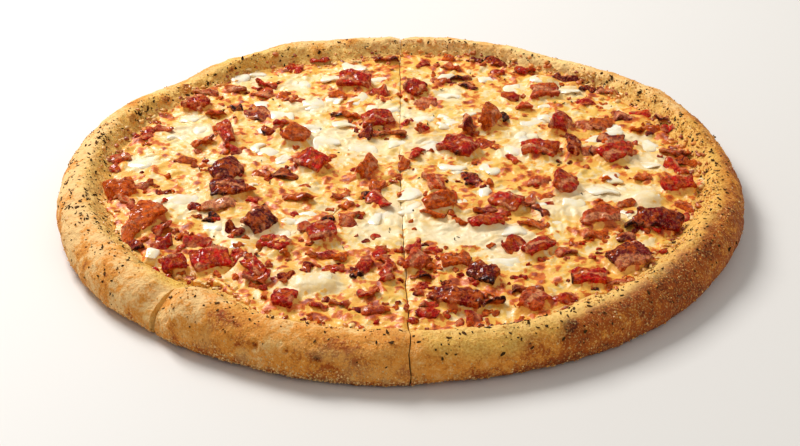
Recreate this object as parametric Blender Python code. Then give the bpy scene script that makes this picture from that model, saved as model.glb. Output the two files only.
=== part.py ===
"""A 14-inch bacon and onion pizza with a thick hand-formed rim, cut into four pieces that lie together.

Each cut piece is a dough with its rim, a sauce layer and a cheese layer. The large bacon and onion
pieces are solids that lie on the cheese, and the small ones are fused into it.
Dimensions are in millimetres and degrees, and the meshes are in metres.
"""

import math
import random
from collections import namedtuple

import bmesh
import bpy
from mathutils import Matrix, Vector, noise
from mathutils.bvhtree import BVHTree
from mathutils.geometry import delaunay_2d_cdt

MM = 0.001

# Rim
OUTER_RADIUS = 178.0
OUTER_WAVE = 1.1
RIM_HEIGHT = 21.3
RIM_HEIGHT_WAVE = 1.2
WIDEST_HEIGHT = 8.5
UNDERCUT = 6.5
CREST_INSET = 13.5
RIM_WIDTH = 27.3
RIM_WIDTH_SWING = 3.0
RIM_WIDTH_WAVE = 1.3
RIM_RELIEF = 0.8
RIM_RELIEF_SIZE = 19.0
BASE_STEPS = 3
OUTER_STEPS = 4
INNER_STEPS = 4
COLUMN_SPACING = 8.6

# Flatter stretches at the back left and the back right of the rim
Flat = namedtuple("Flat", "angle spread shrink sink")
FLATS = (
    Flat(138.0, 12.0, 2.4, 4.6),
    Flat(57.0, 15.0, 1.6, 2.8),
)

# Where the topping spreads further out over the rim, or with a minus, where the rim reaches in
Spread = namedtuple("Spread", "angle spread out")
SPREADS = (
    Spread(6.0, 17.0, 6.0),
    Spread(42.0, 16.0, 4.5),
    Spread(76.0, 14.0, 3.0),
    Spread(104.0, 7.0, -4.0),
    Spread(124.0, 8.0, 4.0),
    Spread(231.0, 8.0, -10.5),
    Spread(285.0, 9.0, 3.5),
)
WIDEST_ANGLE = 285.0

# Layers inside the rim
DOUGH_FLOOR = 7.5
SAUCE_THICKNESS = 1.2
SAUCE_EDGE = 1.6
CHEESE_LEVEL = 12.2
CHEESE_LEAST = 1.2
CHEESE_SPACING = 9.5
SWELL_HEIGHT = 1.3
SWELL_SIZE = 24.0
SWELL_LAYER = 3.0
RIPPLE_HEIGHT = 0.8
RIPPLE_SIZE = 10.0
RIPPLE_LAYER = 7.0
CHEESE_CORNER_SHARE = 0.6
FOOT_LEVEL = 12.2
GAP = 0.3
CHEESE_BASE = DOUGH_FLOOR + SAUCE_THICKNESS + 2 * GAP

# Cuts, by the angle they run out at: half the gap at the middle, and how far each side turns away
Cut = namedtuple("Cut", "angle half_gap opening")
FRONT_CUT = Cut(271.5, 0.3, 0.06)
BACK_CUT = Cut(90.0, 0.25, 0.04)
LEFT_CUT = Cut(191.0, 0.25, 0.06)
LOWER_LEFT_CUT = Cut(230.0, 0.3, 0.5)

# How the rim's edges along a cut round off, most of all at the lower left cut
Edge = namedtuple("Edge", "depth reach")
SOFT_EDGE = Edge(1.4, 3.0)
TURNED_DOWN = Edge(3.4, 8.0)
DOMED = Edge(4.2, 6.5)

# Cut pieces, anticlockwise, with how much each end stands above the plain height
Slice = namedtuple("Slice", "name first last first_lift last_lift first_edge last_edge")
SLICES = (
    Slice("right", FRONT_CUT, BACK_CUT, 0.0, 0.3, SOFT_EDGE, SOFT_EDGE),
    Slice("left_back", BACK_CUT, LEFT_CUT, 0.5, -1.0, SOFT_EDGE, SOFT_EDGE),
    Slice("left", LEFT_CUT, LOWER_LEFT_CUT, 2.4, -0.4, SOFT_EDGE, TURNED_DOWN),
    Slice("front_left", LOWER_LEFT_CUT, FRONT_CUT, 2.2, 0.4, DOMED, SOFT_EDGE),
)
LIFT_REACH = 34.0
LIFT_START = 90.0

# Large toppings: where each lies, its length, width, heading, arch and roll
Piece = namedtuple("Piece", "x y length width heading arch roll")
BACON = (
    Piece(-144, -18, 14, 11, 20, 35, 20),
    Piece(-125, -50, 20, 13, 62, 55, 10),
    Piece(-90, -91, 18, 13, 15, 30, 15),
    Piece(-107.5, -96.5, 11, 8, 25, 45, 20),
    Piece(-69, -55, 17, 12, 50, 60, 25),
    Piece(-88, -23, 17, 11, 10, 45, 15),
    Piece(-61, -77, 14, 10, -20, 30, 5),
    Piece(-70, -99, 19, 7, -58, 40, 15),
    Piece(-38, -67, 14, 10, 25, 40, 15),
    Piece(-53, -125, 13, 10, 80, 25, 5),
    Piece(9, -92, 15, 9, 70, 45, 20),
    Piece(27, -90, 14, 8, 5, 30, 5),
    Piece(40, -104, 15, 9, -35, 35, 15),
    Piece(26, -126, 24, 10, -18, 30, 10),
    Piece(18, -12, 14, 9, 110, 50, 15),
    Piece(21, -37, 16, 8, 20, 70, 40),
    Piece(44, -53, 17, 6, 5, 30, 10),
    Piece(55, -34, 16, 10, -35, 50, 20),
    Piece(86, -14, 16, 12, 75, 50, 20),
    Piece(101, -50, 19, 8, 12, 55, 20),
    Piece(128, -56, 23, 10, -15, 50, 30),
    Piece(111, -88, 20, 14, 30, 45, 10),
    Piece(68, -77, 18, 8, 40, 35, 15),
    Piece(89, -107, 16, 8, 0, 30, 10),
    Piece(62, -127, 15, 11, 60, 30, 10),
    Piece(144, -15, 17, 8, 12, 40, 20),
    Piece(-90, 0, 17, 13, 50, 60, 25),
    Piece(-55, 42, 15, 13, 75, 95, 20),
    Piece(-95, 45, 22, 7, -72, 45, 20),
    Piece(-114, 83, 14, 10, 60, 40, 15),
    Piece(-26, 112, 21, 13, -8, 45, 15),
    Piece(37.5, 54, 14, 7, 80, 60, 60),
    Piece(52, 62, 23, 12, 72, 120, 40),
    Piece(32, 28, 19, 13, -30, 45, 10),
    Piece(-17, 5, 20, 7, 70, 35, 40),
    Piece(-46, 11, 17, 11, -40, 45, 20),
    Piece(9, 104, 15, 11, 60, 40, 15),
    Piece(-12, 61, 17, 11, 20, 40, 15),
    Piece(84, 100, 15, 12, 0, 20, 10),
    Piece(90, 57, 18, 11, 75, 65, 25),
    Piece(94, 30, 20, 8, 88, 45, 30),
    Piece(75, 26, 19, 10, -10, 40, 15),
    Piece(116, 21, 19, 10, 25, 40, 20),
)
ONION = (
    Piece(-118.5, -86, 11, 8, 85, 40, 10),
    Piece(-80, -75, 18, 12, 5, 25, 0),
    Piece(-39, -109, 20, 13, 5, 20, 0),
    Piece(127, -25, 15, 12, 20, 25, 0),
    Piece(83, 117, 17, 12, -10, 28, 0),
)
BACON_THICKNESS = 2.7
BACON_SEGMENTS = (4, 2)
ONION_THICKNESS = 2.3
ONION_SEGMENTS = (3, 2)
EDGE_UNEVENNESS = 0.09
THICKNESS_SHARE = (0.8, 1.15)
TOP_TAPER = 0.93
ACROSS_ARCH_SHARE = 0.5
DROP_HEIGHT = 60.0
DROP_REACH = 40.0
DROP_CUTS = 2
REST_CLEARANCE = GAP + 0.06

# Small bacon and onion bits fused into the cheese
BITS = 84
BIT_LENGTH = (6.5, 11.0)
BIT_WIDTH = (4.5, 7.0)
BIT_HEIGHT = 4.4
BIT_UNEVENNESS = (0.85, 1.1)
BIT_SUNK = 0.7
BIT_MARGIN = 1.5
BIT_TRIES = 6000
SEED = 11


def wave(angle, start, counts=(2, 3, 5, 8)):
    """Smooth unevenness round the pizza, from about -1 to 1."""
    return sum(math.sin(count * angle + start * (count + 1)) for count in counts) / len(counts)


def near(angle, place, spread):
    """1 at a place round the rim, falling to 0 away from it."""
    away = (math.degrees(angle) - place + 180) % 360 - 180
    return math.exp(-((away / spread) ** 2))


def outer_radius(angle):
    flat = sum(place.shrink * near(angle, place.angle, place.spread) for place in FLATS)
    return OUTER_RADIUS + OUTER_WAVE * wave(angle, 0.4) - flat


def rim_top(angle):
    """Height of the rim's crest."""
    height = RIM_HEIGHT + RIM_HEIGHT_WAVE * wave(angle, 2.2, (2, 4, 7))
    return height - sum(place.sink * near(angle, place.angle, place.spread) for place in FLATS)


def foot_radius(angle):
    """Where the rim meets the topping: the rim is widest in front."""
    width = RIM_WIDTH + RIM_WIDTH_SWING * math.cos(angle - math.radians(WIDEST_ANGLE))
    width -= sum(place.out * near(angle, place.angle, place.spread) for place in SPREADS)
    return OUTER_RADIUS - width + RIM_WIDTH_WAVE * wave(angle, 1.3, (3, 7, 11))


def bounds_of(piece):
    """The piece's two cut angles, the second one larger."""
    first = math.radians(piece.first.angle + piece.first.opening)
    last = math.radians(piece.last.angle - piece.last.opening)
    return first, last if last > first else last + 2 * math.pi


def tip_of(piece):
    """The corner where the two cut faces meet, set back by half the gap."""
    first, last = bounds_of(piece)
    half = (last - first) / 2
    back = max(piece.first.half_gap, piece.last.half_gap) / math.sin(half)
    return Vector((math.cos(first + half), math.sin(first + half))) * back


def spot(piece, angle, radius):
    """The point at this distance from the pizza's middle, in this direction from the piece's tip."""
    tip = tip_of(piece)
    direction = Vector((math.cos(angle), math.sin(angle)))
    along = tip.dot(direction)
    reach = math.sqrt(radius * radius - tip.length_squared + along * along) - along
    return tip + direction * max(reach, 0.0)


def cut_distances(piece, point):
    """How far a point lies from the piece's two cut faces."""
    first, last = bounds_of(piece)
    offset = point - tip_of(piece)
    from_first = offset.y * math.cos(first) - offset.x * math.sin(first)
    from_last = offset.x * math.sin(last) - offset.y * math.cos(last)
    return from_first, from_last


def lift(piece, point):
    """How much the piece stands up towards its ends."""
    outward = min(point.length / LIFT_START, 1.0) ** 2
    from_first, from_last = cut_distances(piece, point)
    start = piece.first_lift * math.exp(-((from_first / LIFT_REACH) ** 2))
    end = piece.last_lift * math.exp(-((from_last / LIFT_REACH) ** 2))
    return outward * (start + end)


def rounding(edge, distance):
    return edge.depth * math.exp(-((max(distance, 0.0) / edge.reach) ** 2))


def corner_drop(piece, point):
    """The soft rounding of the rim's edges along its cuts."""
    from_first, from_last = cut_distances(piece, point)
    return max(rounding(piece.first_edge, from_first), rounding(piece.last_edge, from_last))


def columns_of(piece):
    """Angles of the piece's upright sections, closer together beside its cuts."""
    first, last = bounds_of(piece)
    margin = SOFT_EDGE.reach / OUTER_RADIUS
    inner_first = first + margin
    inner_last = last - margin
    count = round((inner_last - inner_first) * OUTER_RADIUS / COLUMN_SPACING)
    step = (inner_last - inner_first) / count
    return [first] + [inner_first + step * i for i in range(count + 1)] + [last]


def rim_section(angle):
    """The rim's section as (radius, height) pairs, from its base edge over the crest to its foot."""
    outer = outer_radius(angle)
    crest = outer - CREST_INSET
    foot = foot_radius(angle)
    top = rim_top(angle)
    section = []
    for i in range(BASE_STEPS):
        turn = math.pi / 2 * i / BASE_STEPS
        radius = outer - UNDERCUT * (1 - math.sin(turn))
        section.append((radius, WIDEST_HEIGHT * (1 - math.cos(turn))))
    for i in range(OUTER_STEPS):
        turn = math.pi / 2 * i / OUTER_STEPS
        height = WIDEST_HEIGHT + (top - WIDEST_HEIGHT) * math.sin(turn)
        section.append((crest + CREST_INSET * math.cos(turn), height))
    for i in range(INNER_STEPS + 1):
        part = i / INNER_STEPS
        fall = (1 + math.cos(math.pi * part)) / 2
        section.append((crest + (foot - crest) * part, FOOT_LEVEL + (top - FOOT_LEVEL) * fall))
    return section


def rim_relief(point, height):
    place = Vector((point.x, point.y, height)) / RIM_RELIEF_SIZE
    return RIM_RELIEF * noise.noise(place)


def new_object(name, bm, material):
    """Closes the mesh's normals outwards and scales it from millimetres to metres."""
    bmesh.ops.recalc_face_normals(bm, faces=bm.faces)
    bmesh.ops.scale(bm, vec=(MM, MM, MM), verts=bm.verts)
    mesh = bpy.data.meshes.new(name)
    bm.to_mesh(mesh)
    bm.free()
    mesh.materials.append(material)
    thing = bpy.data.objects.new(name, mesh)
    bpy.context.scene.collection.objects.link(thing)
    return thing


def make_dough(piece, material):
    """The base with its rim, as upright sections joined round, with a flat floor and a flat bottom."""
    bm = bmesh.new()
    rows = []
    for angle in columns_of(piece):
        row = []
        for index, (radius, height) in enumerate(rim_section(angle)):
            point = spot(piece, angle, radius)
            if index:
                relief = rim_relief(point, height) if height > FOOT_LEVEL else 0.0
                share = height / RIM_HEIGHT
                drop = corner_drop(piece, point) * share
                at_foot = radius <= foot_radius(angle)
                point = point if at_foot else spot(piece, angle, radius + relief - drop)
                height += relief - drop + lift(piece, point) * share
            row.append(bm.verts.new((point.x, point.y, height)))
        floor = spot(piece, angle, foot_radius(angle))
        row.append(bm.verts.new((floor.x, floor.y, DOUGH_FLOOR)))
        rows.append(row)
    tip = tip_of(piece)
    low_tip = bm.verts.new((tip.x, tip.y, 0))
    high_tip = bm.verts.new((tip.x, tip.y, DOUGH_FLOOR))
    for row, following in zip(rows, rows[1:]):
        for low, high, next_low, next_high in zip(row, row[1:], following, following[1:]):
            bm.faces.new((low, next_low, next_high, high))
    bm.faces.new([high_tip] + [row[-1] for row in rows])
    bm.faces.new([low_tip] + [row[0] for row in rows])
    bm.faces.new([low_tip] + rows[0] + [high_tip])
    bm.faces.new([low_tip] + rows[-1] + [high_tip])
    return new_object("dough_" + piece.name, bm, material)


def make_sauce(piece, material):
    """A thin flat layer on the dough's floor."""
    bm = bmesh.new()
    angles = columns_of(piece)
    outline = [tip_of(piece)] + [spot(piece, a, foot_radius(a) - SAUCE_EDGE) for a in angles[::2]]
    if angles[-1] != angles[::2][-1]:
        outline.append(spot(piece, angles[-1], foot_radius(angles[-1]) - SAUCE_EDGE))
    face = bm.faces.new([bm.verts.new((p.x, p.y, DOUGH_FLOOR + GAP)) for p in outline])
    raised = bmesh.ops.extrude_face_region(bm, geom=[face])["geom"]
    tops = [item for item in raised if isinstance(item, bmesh.types.BMVert)]
    bmesh.ops.translate(bm, vec=(0, 0, SAUCE_THICKNESS), verts=tops)
    return new_object("sauce_" + piece.name, bm, material)


def cheese_height(piece, point):
    """The melted cheese's uneven top."""
    swell = noise.noise(Vector((point.x / SWELL_SIZE, point.y / SWELL_SIZE, SWELL_LAYER)))
    ripple = noise.noise(Vector((point.x / RIPPLE_SIZE, point.y / RIPPLE_SIZE, RIPPLE_LAYER)))
    height = CHEESE_LEVEL + SWELL_HEIGHT * swell + RIPPLE_HEIGHT * ripple + lift(piece, point)
    height -= CHEESE_CORNER_SHARE * rounding(SOFT_EDGE, min(cut_distances(piece, point)))
    return max(height, CHEESE_BASE + CHEESE_LEAST)


def make_cheese(piece, material):
    """The cheese layer: its outline filled with even triangles, raised by the height rule."""
    angles = columns_of(piece)
    tip = tip_of(piece)
    arc = [spot(piece, a, foot_radius(a) - GAP) for a in angles]
    outline = [tip]
    count = round((arc[0] - tip).length / CHEESE_SPACING)
    outline += [tip.lerp(arc[0], i / count) for i in range(1, count)]
    outline += arc
    outline += [arc[-1].lerp(tip, i / count) for i in range(1, count)]
    inside = []
    reach = int(OUTER_RADIUS / CHEESE_SPACING) + 1
    for i in range(-reach, reach + 1):
        for j in range(-reach, reach + 1):
            point = Vector(((i + j % 2 / 2) * CHEESE_SPACING, j * CHEESE_SPACING * math.sqrt(3) / 2))
            edge = foot_radius(math.atan2(point.y, point.x)) - point.length
            if min(*cut_distances(piece, point), edge) > CHEESE_SPACING / 2:
                inside.append(point)
    ring = [(i, (i + 1) % len(outline)) for i in range(len(outline))]
    points, _, faces, *_ = delaunay_2d_cdt(outline + inside, ring, [], 1, 1e-4)
    bm = bmesh.new()
    verts = [bm.verts.new((p.x, p.y, cheese_height(piece, p))) for p in points]
    for face in faces:
        bm.faces.new([verts[i] for i in face])
    rim = [edge for edge in bm.edges if edge.is_boundary]
    lowered = bmesh.ops.extrude_edge_only(bm, edges=rim)["geom"]
    for vert in (item for item in lowered if isinstance(item, bmesh.types.BMVert)):
        vert.co.z = CHEESE_BASE
    bmesh.ops.holes_fill(bm, edges=[edge for edge in bm.edges if edge.is_boundary], sides=0)
    return new_object("cheese_" + piece.name, bm, material)


def bend(bm, angle, length, axis):
    """Bends a flat piece along one axis by an angle, its middle upwards."""
    if abs(angle) < 1:
        return
    radius = length / math.radians(angle)
    for vert in bm.verts:
        turn = vert.co[axis] / radius
        height = radius + vert.co.z
        vert.co[axis] = height * math.sin(turn)
        vert.co.z = height * math.cos(turn) - radius


def shape_topping(piece, thickness, segments, draw):
    """A flat chunk with uneven edges and thickness, arched, rolled over and turned to its heading."""
    bm = bmesh.new()
    bmesh.ops.create_grid(bm, x_segments=segments[0], y_segments=segments[1], size=0.5)
    for vert in bm.verts:
        vert.co.x = (vert.co.x + draw.uniform(-1, 1) * EDGE_UNEVENNESS) * piece.length
        vert.co.y = (vert.co.y + draw.uniform(-1, 1) * EDGE_UNEVENNESS) * piece.width
    raised = bmesh.ops.extrude_face_region(bm, geom=bm.faces[:])["geom"]
    for vert in (item for item in raised if isinstance(item, bmesh.types.BMVert)):
        vert.co.z = thickness * draw.uniform(*THICKNESS_SHARE)
        vert.co.xy *= TOP_TAPER
    bend(bm, piece.arch, piece.length, 0)
    bend(bm, piece.arch * ACROSS_ARCH_SHARE, piece.width, 1)
    turn = Matrix.Rotation(math.radians(piece.heading), 4, "Z")
    turn @= Matrix.Rotation(math.radians(piece.roll), 4, "X")
    place = Matrix.Translation((piece.x, piece.y, DROP_HEIGHT))
    bmesh.ops.transform(bm, matrix=place @ turn, verts=bm.verts)
    return bm


def surface_of(things):
    """Everything that a topping can rest on, as one tree in millimetres."""
    points = []
    faces = []
    for thing in things:
        first = len(points)
        points += [vert.co / MM for vert in thing.data.vertices]
        faces += [[first + i for i in polygon.vertices] for polygon in thing.data.polygons]
    return BVHTree.FromPolygons(points, faces), points


def drop(bm, carriers):
    """Lowers a topping until it clears what lies under it by the resting gap."""
    tree, points = surface_of(carriers)
    fine = bm.copy()
    bmesh.ops.triangulate(fine, faces=fine.faces)
    bmesh.ops.subdivide_edges(fine, edges=fine.edges, cuts=DROP_CUTS, use_grid_fill=True)
    below = [(vert.co, tree.ray_cast(vert.co, (0, 0, -1))) for vert in fine.verts]
    room = min(hit[3] for _, hit in below if hit[0])
    piece_tree = BVHTree.FromBMesh(fine)
    centre = sum((vert.co for vert in bm.verts), Vector()) / len(bm.verts)
    for point in points:
        if (point.xy - centre.xy).length < DROP_REACH:
            hit = piece_tree.ray_cast(point, (0, 0, 1))
            room = min(room, hit[3]) if hit[0] else room
    fine.free()
    bmesh.ops.translate(bm, vec=(0, 0, REST_CLEARANCE - room), verts=bm.verts)


def make_toppings(prefix, pieces, thickness, segments, material, carriers, draw):
    for number, piece in enumerate(pieces, 1):
        bm = shape_topping(piece, thickness, segments, draw)
        drop(bm, carriers)
        carriers.append(new_object(f"{prefix}_{number:02d}", bm, material))


def footprint_radius(piece):
    return math.hypot(piece.length, piece.width) / 2


def bit_places(draw):
    """Seeded places for the fused bits, clear of the large toppings, the cuts and each other."""
    places = {piece.name: [] for piece in SLICES}
    taken = [(Vector((p.x, p.y)), footprint_radius(p)) for p in BACON + ONION]
    found = 0
    for _ in range(BIT_TRIES):
        angle = draw.uniform(0, 2 * math.pi)
        radius = math.sqrt(draw.random()) * (OUTER_RADIUS - RIM_WIDTH)
        length = draw.uniform(*BIT_LENGTH)
        heading = draw.uniform(0, math.pi)
        width = draw.uniform(*BIT_WIDTH)
        point = Vector((math.cos(angle), math.sin(angle))) * radius
        reach = length / 2 + BIT_MARGIN
        if foot_radius(angle) - radius < reach:
            continue
        home = next((p for p in SLICES if min(cut_distances(p, point)) > reach), None)
        if home is None or any((point - other).length < size + reach for other, size in taken):
            continue
        taken.append((point, length / 2))
        places[home.name].append((point, length, width, heading))
        found += 1
        if found == BITS:
            break
    return places


def fuse_bits(cheese, piece, places, draw):
    """Joins the small bits to their cheese with one Boolean union."""
    bits = bpy.data.collections.new("bits")
    bpy.context.scene.collection.children.link(bits)
    for point, length, width, heading in places:
        bm = bmesh.new()
        bmesh.ops.create_icosphere(bm, subdivisions=1, radius=0.5)
        for vert in bm.verts:
            vert.co *= draw.uniform(*BIT_UNEVENNESS)
        level = cheese_height(piece, point) + BIT_SUNK
        place = Matrix.Translation((point.x, point.y, level)) @ Matrix.Rotation(heading, 4, "Z")
        size = Matrix.Diagonal((length, width, BIT_HEIGHT, 1))
        bmesh.ops.transform(bm, matrix=place @ size, verts=bm.verts)
        bit = new_object("bit", bm, cheese.data.materials[0])
        bpy.context.scene.collection.objects.unlink(bit)
        bits.objects.link(bit)
    union = cheese.modifiers.new("Fused bits", "BOOLEAN")
    union.operation = "UNION"
    union.operand_type = "COLLECTION"
    union.collection = bits
    union.solver = "EXACT"
    bpy.context.view_layer.objects.active = cheese
    bpy.ops.object.select_all(action="DESELECT")
    cheese.select_set(True)
    bpy.ops.object.modifier_apply(modifier=union.name)
    for bit in list(bits.objects):
        bpy.data.objects.remove(bit, do_unlink=True)
    bpy.data.collections.remove(bits)


def new_material(name, colour, roughness):
    material = bpy.data.materials.new(name)
    material.use_nodes = True
    shader = material.node_tree.nodes["Principled BSDF"]
    shader.inputs["Base Color"].default_value = (*colour, 1)
    shader.inputs["Roughness"].default_value = roughness
    shader.inputs["Metallic"].default_value = 0.0
    return material


def centre_on_origin(things):
    """Puts the middle of the pizza's box on the origin."""
    corners = [vert.co for thing in things for vert in thing.data.vertices]
    middle_x = (max(c.x for c in corners) + min(c.x for c in corners)) / 2
    middle_y = (max(c.y for c in corners) + min(c.y for c in corners)) / 2
    for thing in things:
        thing.data.transform(Matrix.Translation((-middle_x, -middle_y, 0)))
        thing.data.update()


def main():
    for thing in list(bpy.data.objects):
        bpy.data.objects.remove(thing, do_unlink=True)
    crust = new_material("Baked crust", (0.62, 0.36, 0.13), 0.7)
    sauce = new_material("Tomato sauce", (0.40, 0.05, 0.02), 0.4)
    cheese = new_material("Melted cheese", (0.87, 0.71, 0.39), 0.35)
    bacon = new_material("Bacon", (0.33, 0.02, 0.015), 0.35)
    onion = new_material("Onion", (0.87, 0.75, 0.56), 0.3)
    draw = random.Random(SEED)
    places = bit_places(draw)
    carriers = []
    for piece in SLICES:
        carriers.append(make_dough(piece, crust))
        make_sauce(piece, sauce)
        layer = make_cheese(piece, cheese)
        fuse_bits(layer, piece, places[piece.name], draw)
        carriers.append(layer)
    make_toppings("bacon", BACON, BACON_THICKNESS, BACON_SEGMENTS, bacon, carriers, draw)
    make_toppings("onion", ONION, ONION_THICKNESS, ONION_SEGMENTS, onion, carriers, draw)
    centre_on_origin(list(bpy.context.scene.objects))


main()
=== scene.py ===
"""Looks of a bacon and onion pizza: a thick baked rim with herbs, melted cheese, bacon and onion.

Lengths here are millimetres unless a name says otherwise, and the pieces are built in metres.
"""

import math
import random
from collections import namedtuple
from contextlib import contextmanager

import bmesh
import bpy
import numpy as np
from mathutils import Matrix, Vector, noise
from mathutils.bvhtree import BVHTree


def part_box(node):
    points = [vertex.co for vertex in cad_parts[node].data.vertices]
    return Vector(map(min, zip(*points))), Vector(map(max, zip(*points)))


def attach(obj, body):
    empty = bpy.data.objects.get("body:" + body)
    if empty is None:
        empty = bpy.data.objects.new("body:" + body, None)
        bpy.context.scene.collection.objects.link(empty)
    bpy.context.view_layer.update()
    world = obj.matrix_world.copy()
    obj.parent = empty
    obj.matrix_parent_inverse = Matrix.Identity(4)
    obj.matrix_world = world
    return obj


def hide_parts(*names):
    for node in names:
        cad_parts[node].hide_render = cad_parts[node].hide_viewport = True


MM = 0.001
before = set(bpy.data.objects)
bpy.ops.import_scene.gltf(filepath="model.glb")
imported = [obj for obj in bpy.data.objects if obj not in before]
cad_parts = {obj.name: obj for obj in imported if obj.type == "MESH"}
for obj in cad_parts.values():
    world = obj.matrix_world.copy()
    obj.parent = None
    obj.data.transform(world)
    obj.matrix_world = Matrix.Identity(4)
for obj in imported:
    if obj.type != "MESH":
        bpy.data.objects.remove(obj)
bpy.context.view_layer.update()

# Rim, as the solids have it
OUTER_RADIUS = 178.0
OUTER_WAVE = 1.1
RIM_HEIGHT = 21.3
RIM_HEIGHT_WAVE = 1.2
WIDEST_HEIGHT = 8.5
UNDERCUT = 6.5
CREST_INSET = 13.5
RIM_WIDTH = 27.3
RIM_WIDTH_SWING = 3.0
RIM_WIDTH_WAVE = 1.3
# Flatter stretches of the rim: angle, spread, how far in and how far down
FLATS = ((138.0, 12.0, 2.4, 4.6), (57.0, 15.0, 1.6, 2.8))
WIDEST_ANGLE = 285.0
# Where the topping spreads out over the rim, or the rim reaches in: angle, spread and how far
SPREADS = (
    (6.0, 17.0, 6.0), (42.0, 16.0, 4.5), (76.0, 14.0, 3.0), (104.0, 7.0, -4.0), (124.0, 8.0, 4.0),
    (231.0, 8.0, -10.5), (285.0, 9.0, 3.5),
)
DOUGH_FLOOR = 7.5
FOOT_LEVEL = 12.2
CHEESE_LEVEL = 12.2
CHEESE_BASE = 9.3
# How an edge along a cut rounds off, most of all at the lower left cut: depth and reach
SOFT_EDGE, TURNED_DOWN, DOMED = (1.4, 3.0), (3.4, 8.0), (4.2, 6.5)
LIFT_REACH = 34.0
LIFT_START = 90.0

# Cut pieces: their cut angles, half their gap, how far their ends stand up, their ends' edges,
# and their cuts' numbers
Slice = namedtuple("Slice", "name first last half_gap first_lift last_lift first_edge last_edge cuts")
SLICES = (
    Slice("right", 271.56, 449.96, 0.3, 0.0, 0.3, SOFT_EDGE, SOFT_EDGE, (0, 1)),
    Slice("left_back", 90.04, 190.94, 0.25, 0.5, -1.0, SOFT_EDGE, SOFT_EDGE, (1, 2)),
    Slice("left", 191.06, 229.5, 0.3, 2.4, -0.4, SOFT_EDGE, TURNED_DOWN, (2, 3)),
    Slice("front_left", 230.5, 271.44, 0.3, 2.2, 0.4, DOMED, SOFT_EDGE, (3, 0)),
)
CUT_WANDER = 0.55
# How much closer together the sides of each cut are brought
CUT_CLOSER = (0.16, 0.16, 0.12, 0.02)

# Fineness of the crust and the cheese
CRUST_STEP = 0.68
CHEESE_STEP = 0.7
FIELD_REACH = 172
FIELD_STEP = 0.5

# Camera, from the photograph's view: elevation and distance from the pizza's middle
VIEW_ELEVATION = 28.5
VIEW_DISTANCE = 900.0
LENS = 76.6
AIM_DROP = 0.875


def linear(red, green, blue):
    """A colour given as 0 to 255 display values, as the shaders want it."""
    parts = np.array((red, green, blue)) / 255
    return tuple(np.where(parts <= 0.04045, parts / 12.92, ((parts + 0.055) / 1.055) ** 2.4))


# Uneven fields

def lattice_noise(x, y, size, seed):
    """Smooth noise from 0 to 1 with lumps of this size."""
    table = np.random.default_rng(seed).random((64, 64))
    gx, gy = np.asarray(x) / size + 400, np.asarray(y) / size + 400
    ix, iy = np.floor(gx).astype(int), np.floor(gy).astype(int)
    fx, fy = gx - ix, gy - iy
    fx, fy = fx * fx * (3 - 2 * fx), fy * fy * (3 - 2 * fy)
    a, b = table[ix % 64, iy % 64], table[(ix + 1) % 64, iy % 64]
    c, d = table[ix % 64, (iy + 1) % 64], table[(ix + 1) % 64, (iy + 1) % 64]
    return (a * (1 - fx) + b * fx) * (1 - fy) + (c * (1 - fx) + d * fx) * fy


def bell(away, spread):
    """1 at the middle, and close to 0 past twice the spread."""
    return np.exp(-((away / spread) ** 2))


def rough(x, y, size, seed, octaves=3):
    """Noise of several sizes together, the largest given, from about -1 to 1."""
    total = np.zeros(np.shape(x))
    weight = 0.0
    for octave in range(octaves):
        part = 0.55 ** octave
        total = total + part * (lattice_noise(x, y, size / 2 ** octave, seed + octave) * 2 - 1)
        weight += part
    return total / weight * 1.6


def creased(x, y, size, seed):
    """Noise with sharp ridges, from -1 to 1."""
    return 1 - 4 * np.abs(lattice_noise(x, y, size, seed) - 0.5)


def cells(x, y, size, seed):
    """Distance to the nearest of scattered points, in cell sizes: round melted lumps."""
    table = np.random.default_rng(seed).random((64, 64, 2))
    gx, gy = x / size + 400, y / size + 400
    ix, iy = np.floor(gx).astype(int), np.floor(gy).astype(int)
    nearest = np.full(np.shape(x), 9.0)
    for dx in (-1, 0, 1):
        for dy in (-1, 0, 1):
            spot = table[(ix + dx) % 64, (iy + dy) % 64]
            away = np.hypot(ix + dx + spot[..., 0] - gx, iy + dy + spot[..., 1] - gy)
            nearest = np.minimum(nearest, away)
    return nearest


def smooth(low, high, value):
    """Rises smoothly from 0 to 1 between two values."""
    part = np.clip((value - low) / (high - low), 0, 1)
    return part * part * (3 - 2 * part)


# The rim's form

def wave(angle, start, counts):
    """Waves round the rim, so many of each to the turn, from -1 to 1."""
    return sum(np.sin(count * angle + start * (count + 1)) for count in counts) / len(counts)


def near(angle, place, spread):
    """A bell round an angle given in degrees."""
    away = (np.degrees(angle) - place + 180) % 360 - 180
    return bell(away, spread)


def outer_radius(angle):
    flat = sum(shrink * near(angle, place, spread) for place, spread, shrink, _ in FLATS)
    return OUTER_RADIUS + OUTER_WAVE * wave(angle, 0.4, (2, 3, 5, 8)) - flat


def rim_top(angle):
    flat = sum(sink * near(angle, place, spread) for place, spread, _, sink in FLATS)
    return RIM_HEIGHT + RIM_HEIGHT_WAVE * wave(angle, 2.2, (2, 4, 7)) - flat


def foot_radius(angle):
    width = RIM_WIDTH + RIM_WIDTH_SWING * np.cos(angle - math.radians(WIDEST_ANGLE))
    width = width - sum(out * near(angle, place, spread) for place, spread, out in SPREADS)
    return OUTER_RADIUS - width + RIM_WIDTH_WAVE * wave(angle, 1.3, (3, 7, 11))


def slope_height(angle, radius):
    """Height of the rim's inner slope at a radius between its foot and its crest."""
    crest = outer_radius(angle) - CREST_INSET
    part = np.clip((crest - radius) / (crest - foot_radius(angle)), 0, 1)
    return FOOT_LEVEL + (rim_top(angle) - FOOT_LEVEL) * (1 + np.cos(np.pi * part)) / 2


def slice_angles(piece):
    return math.radians(piece.first), math.radians(piece.last)


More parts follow.
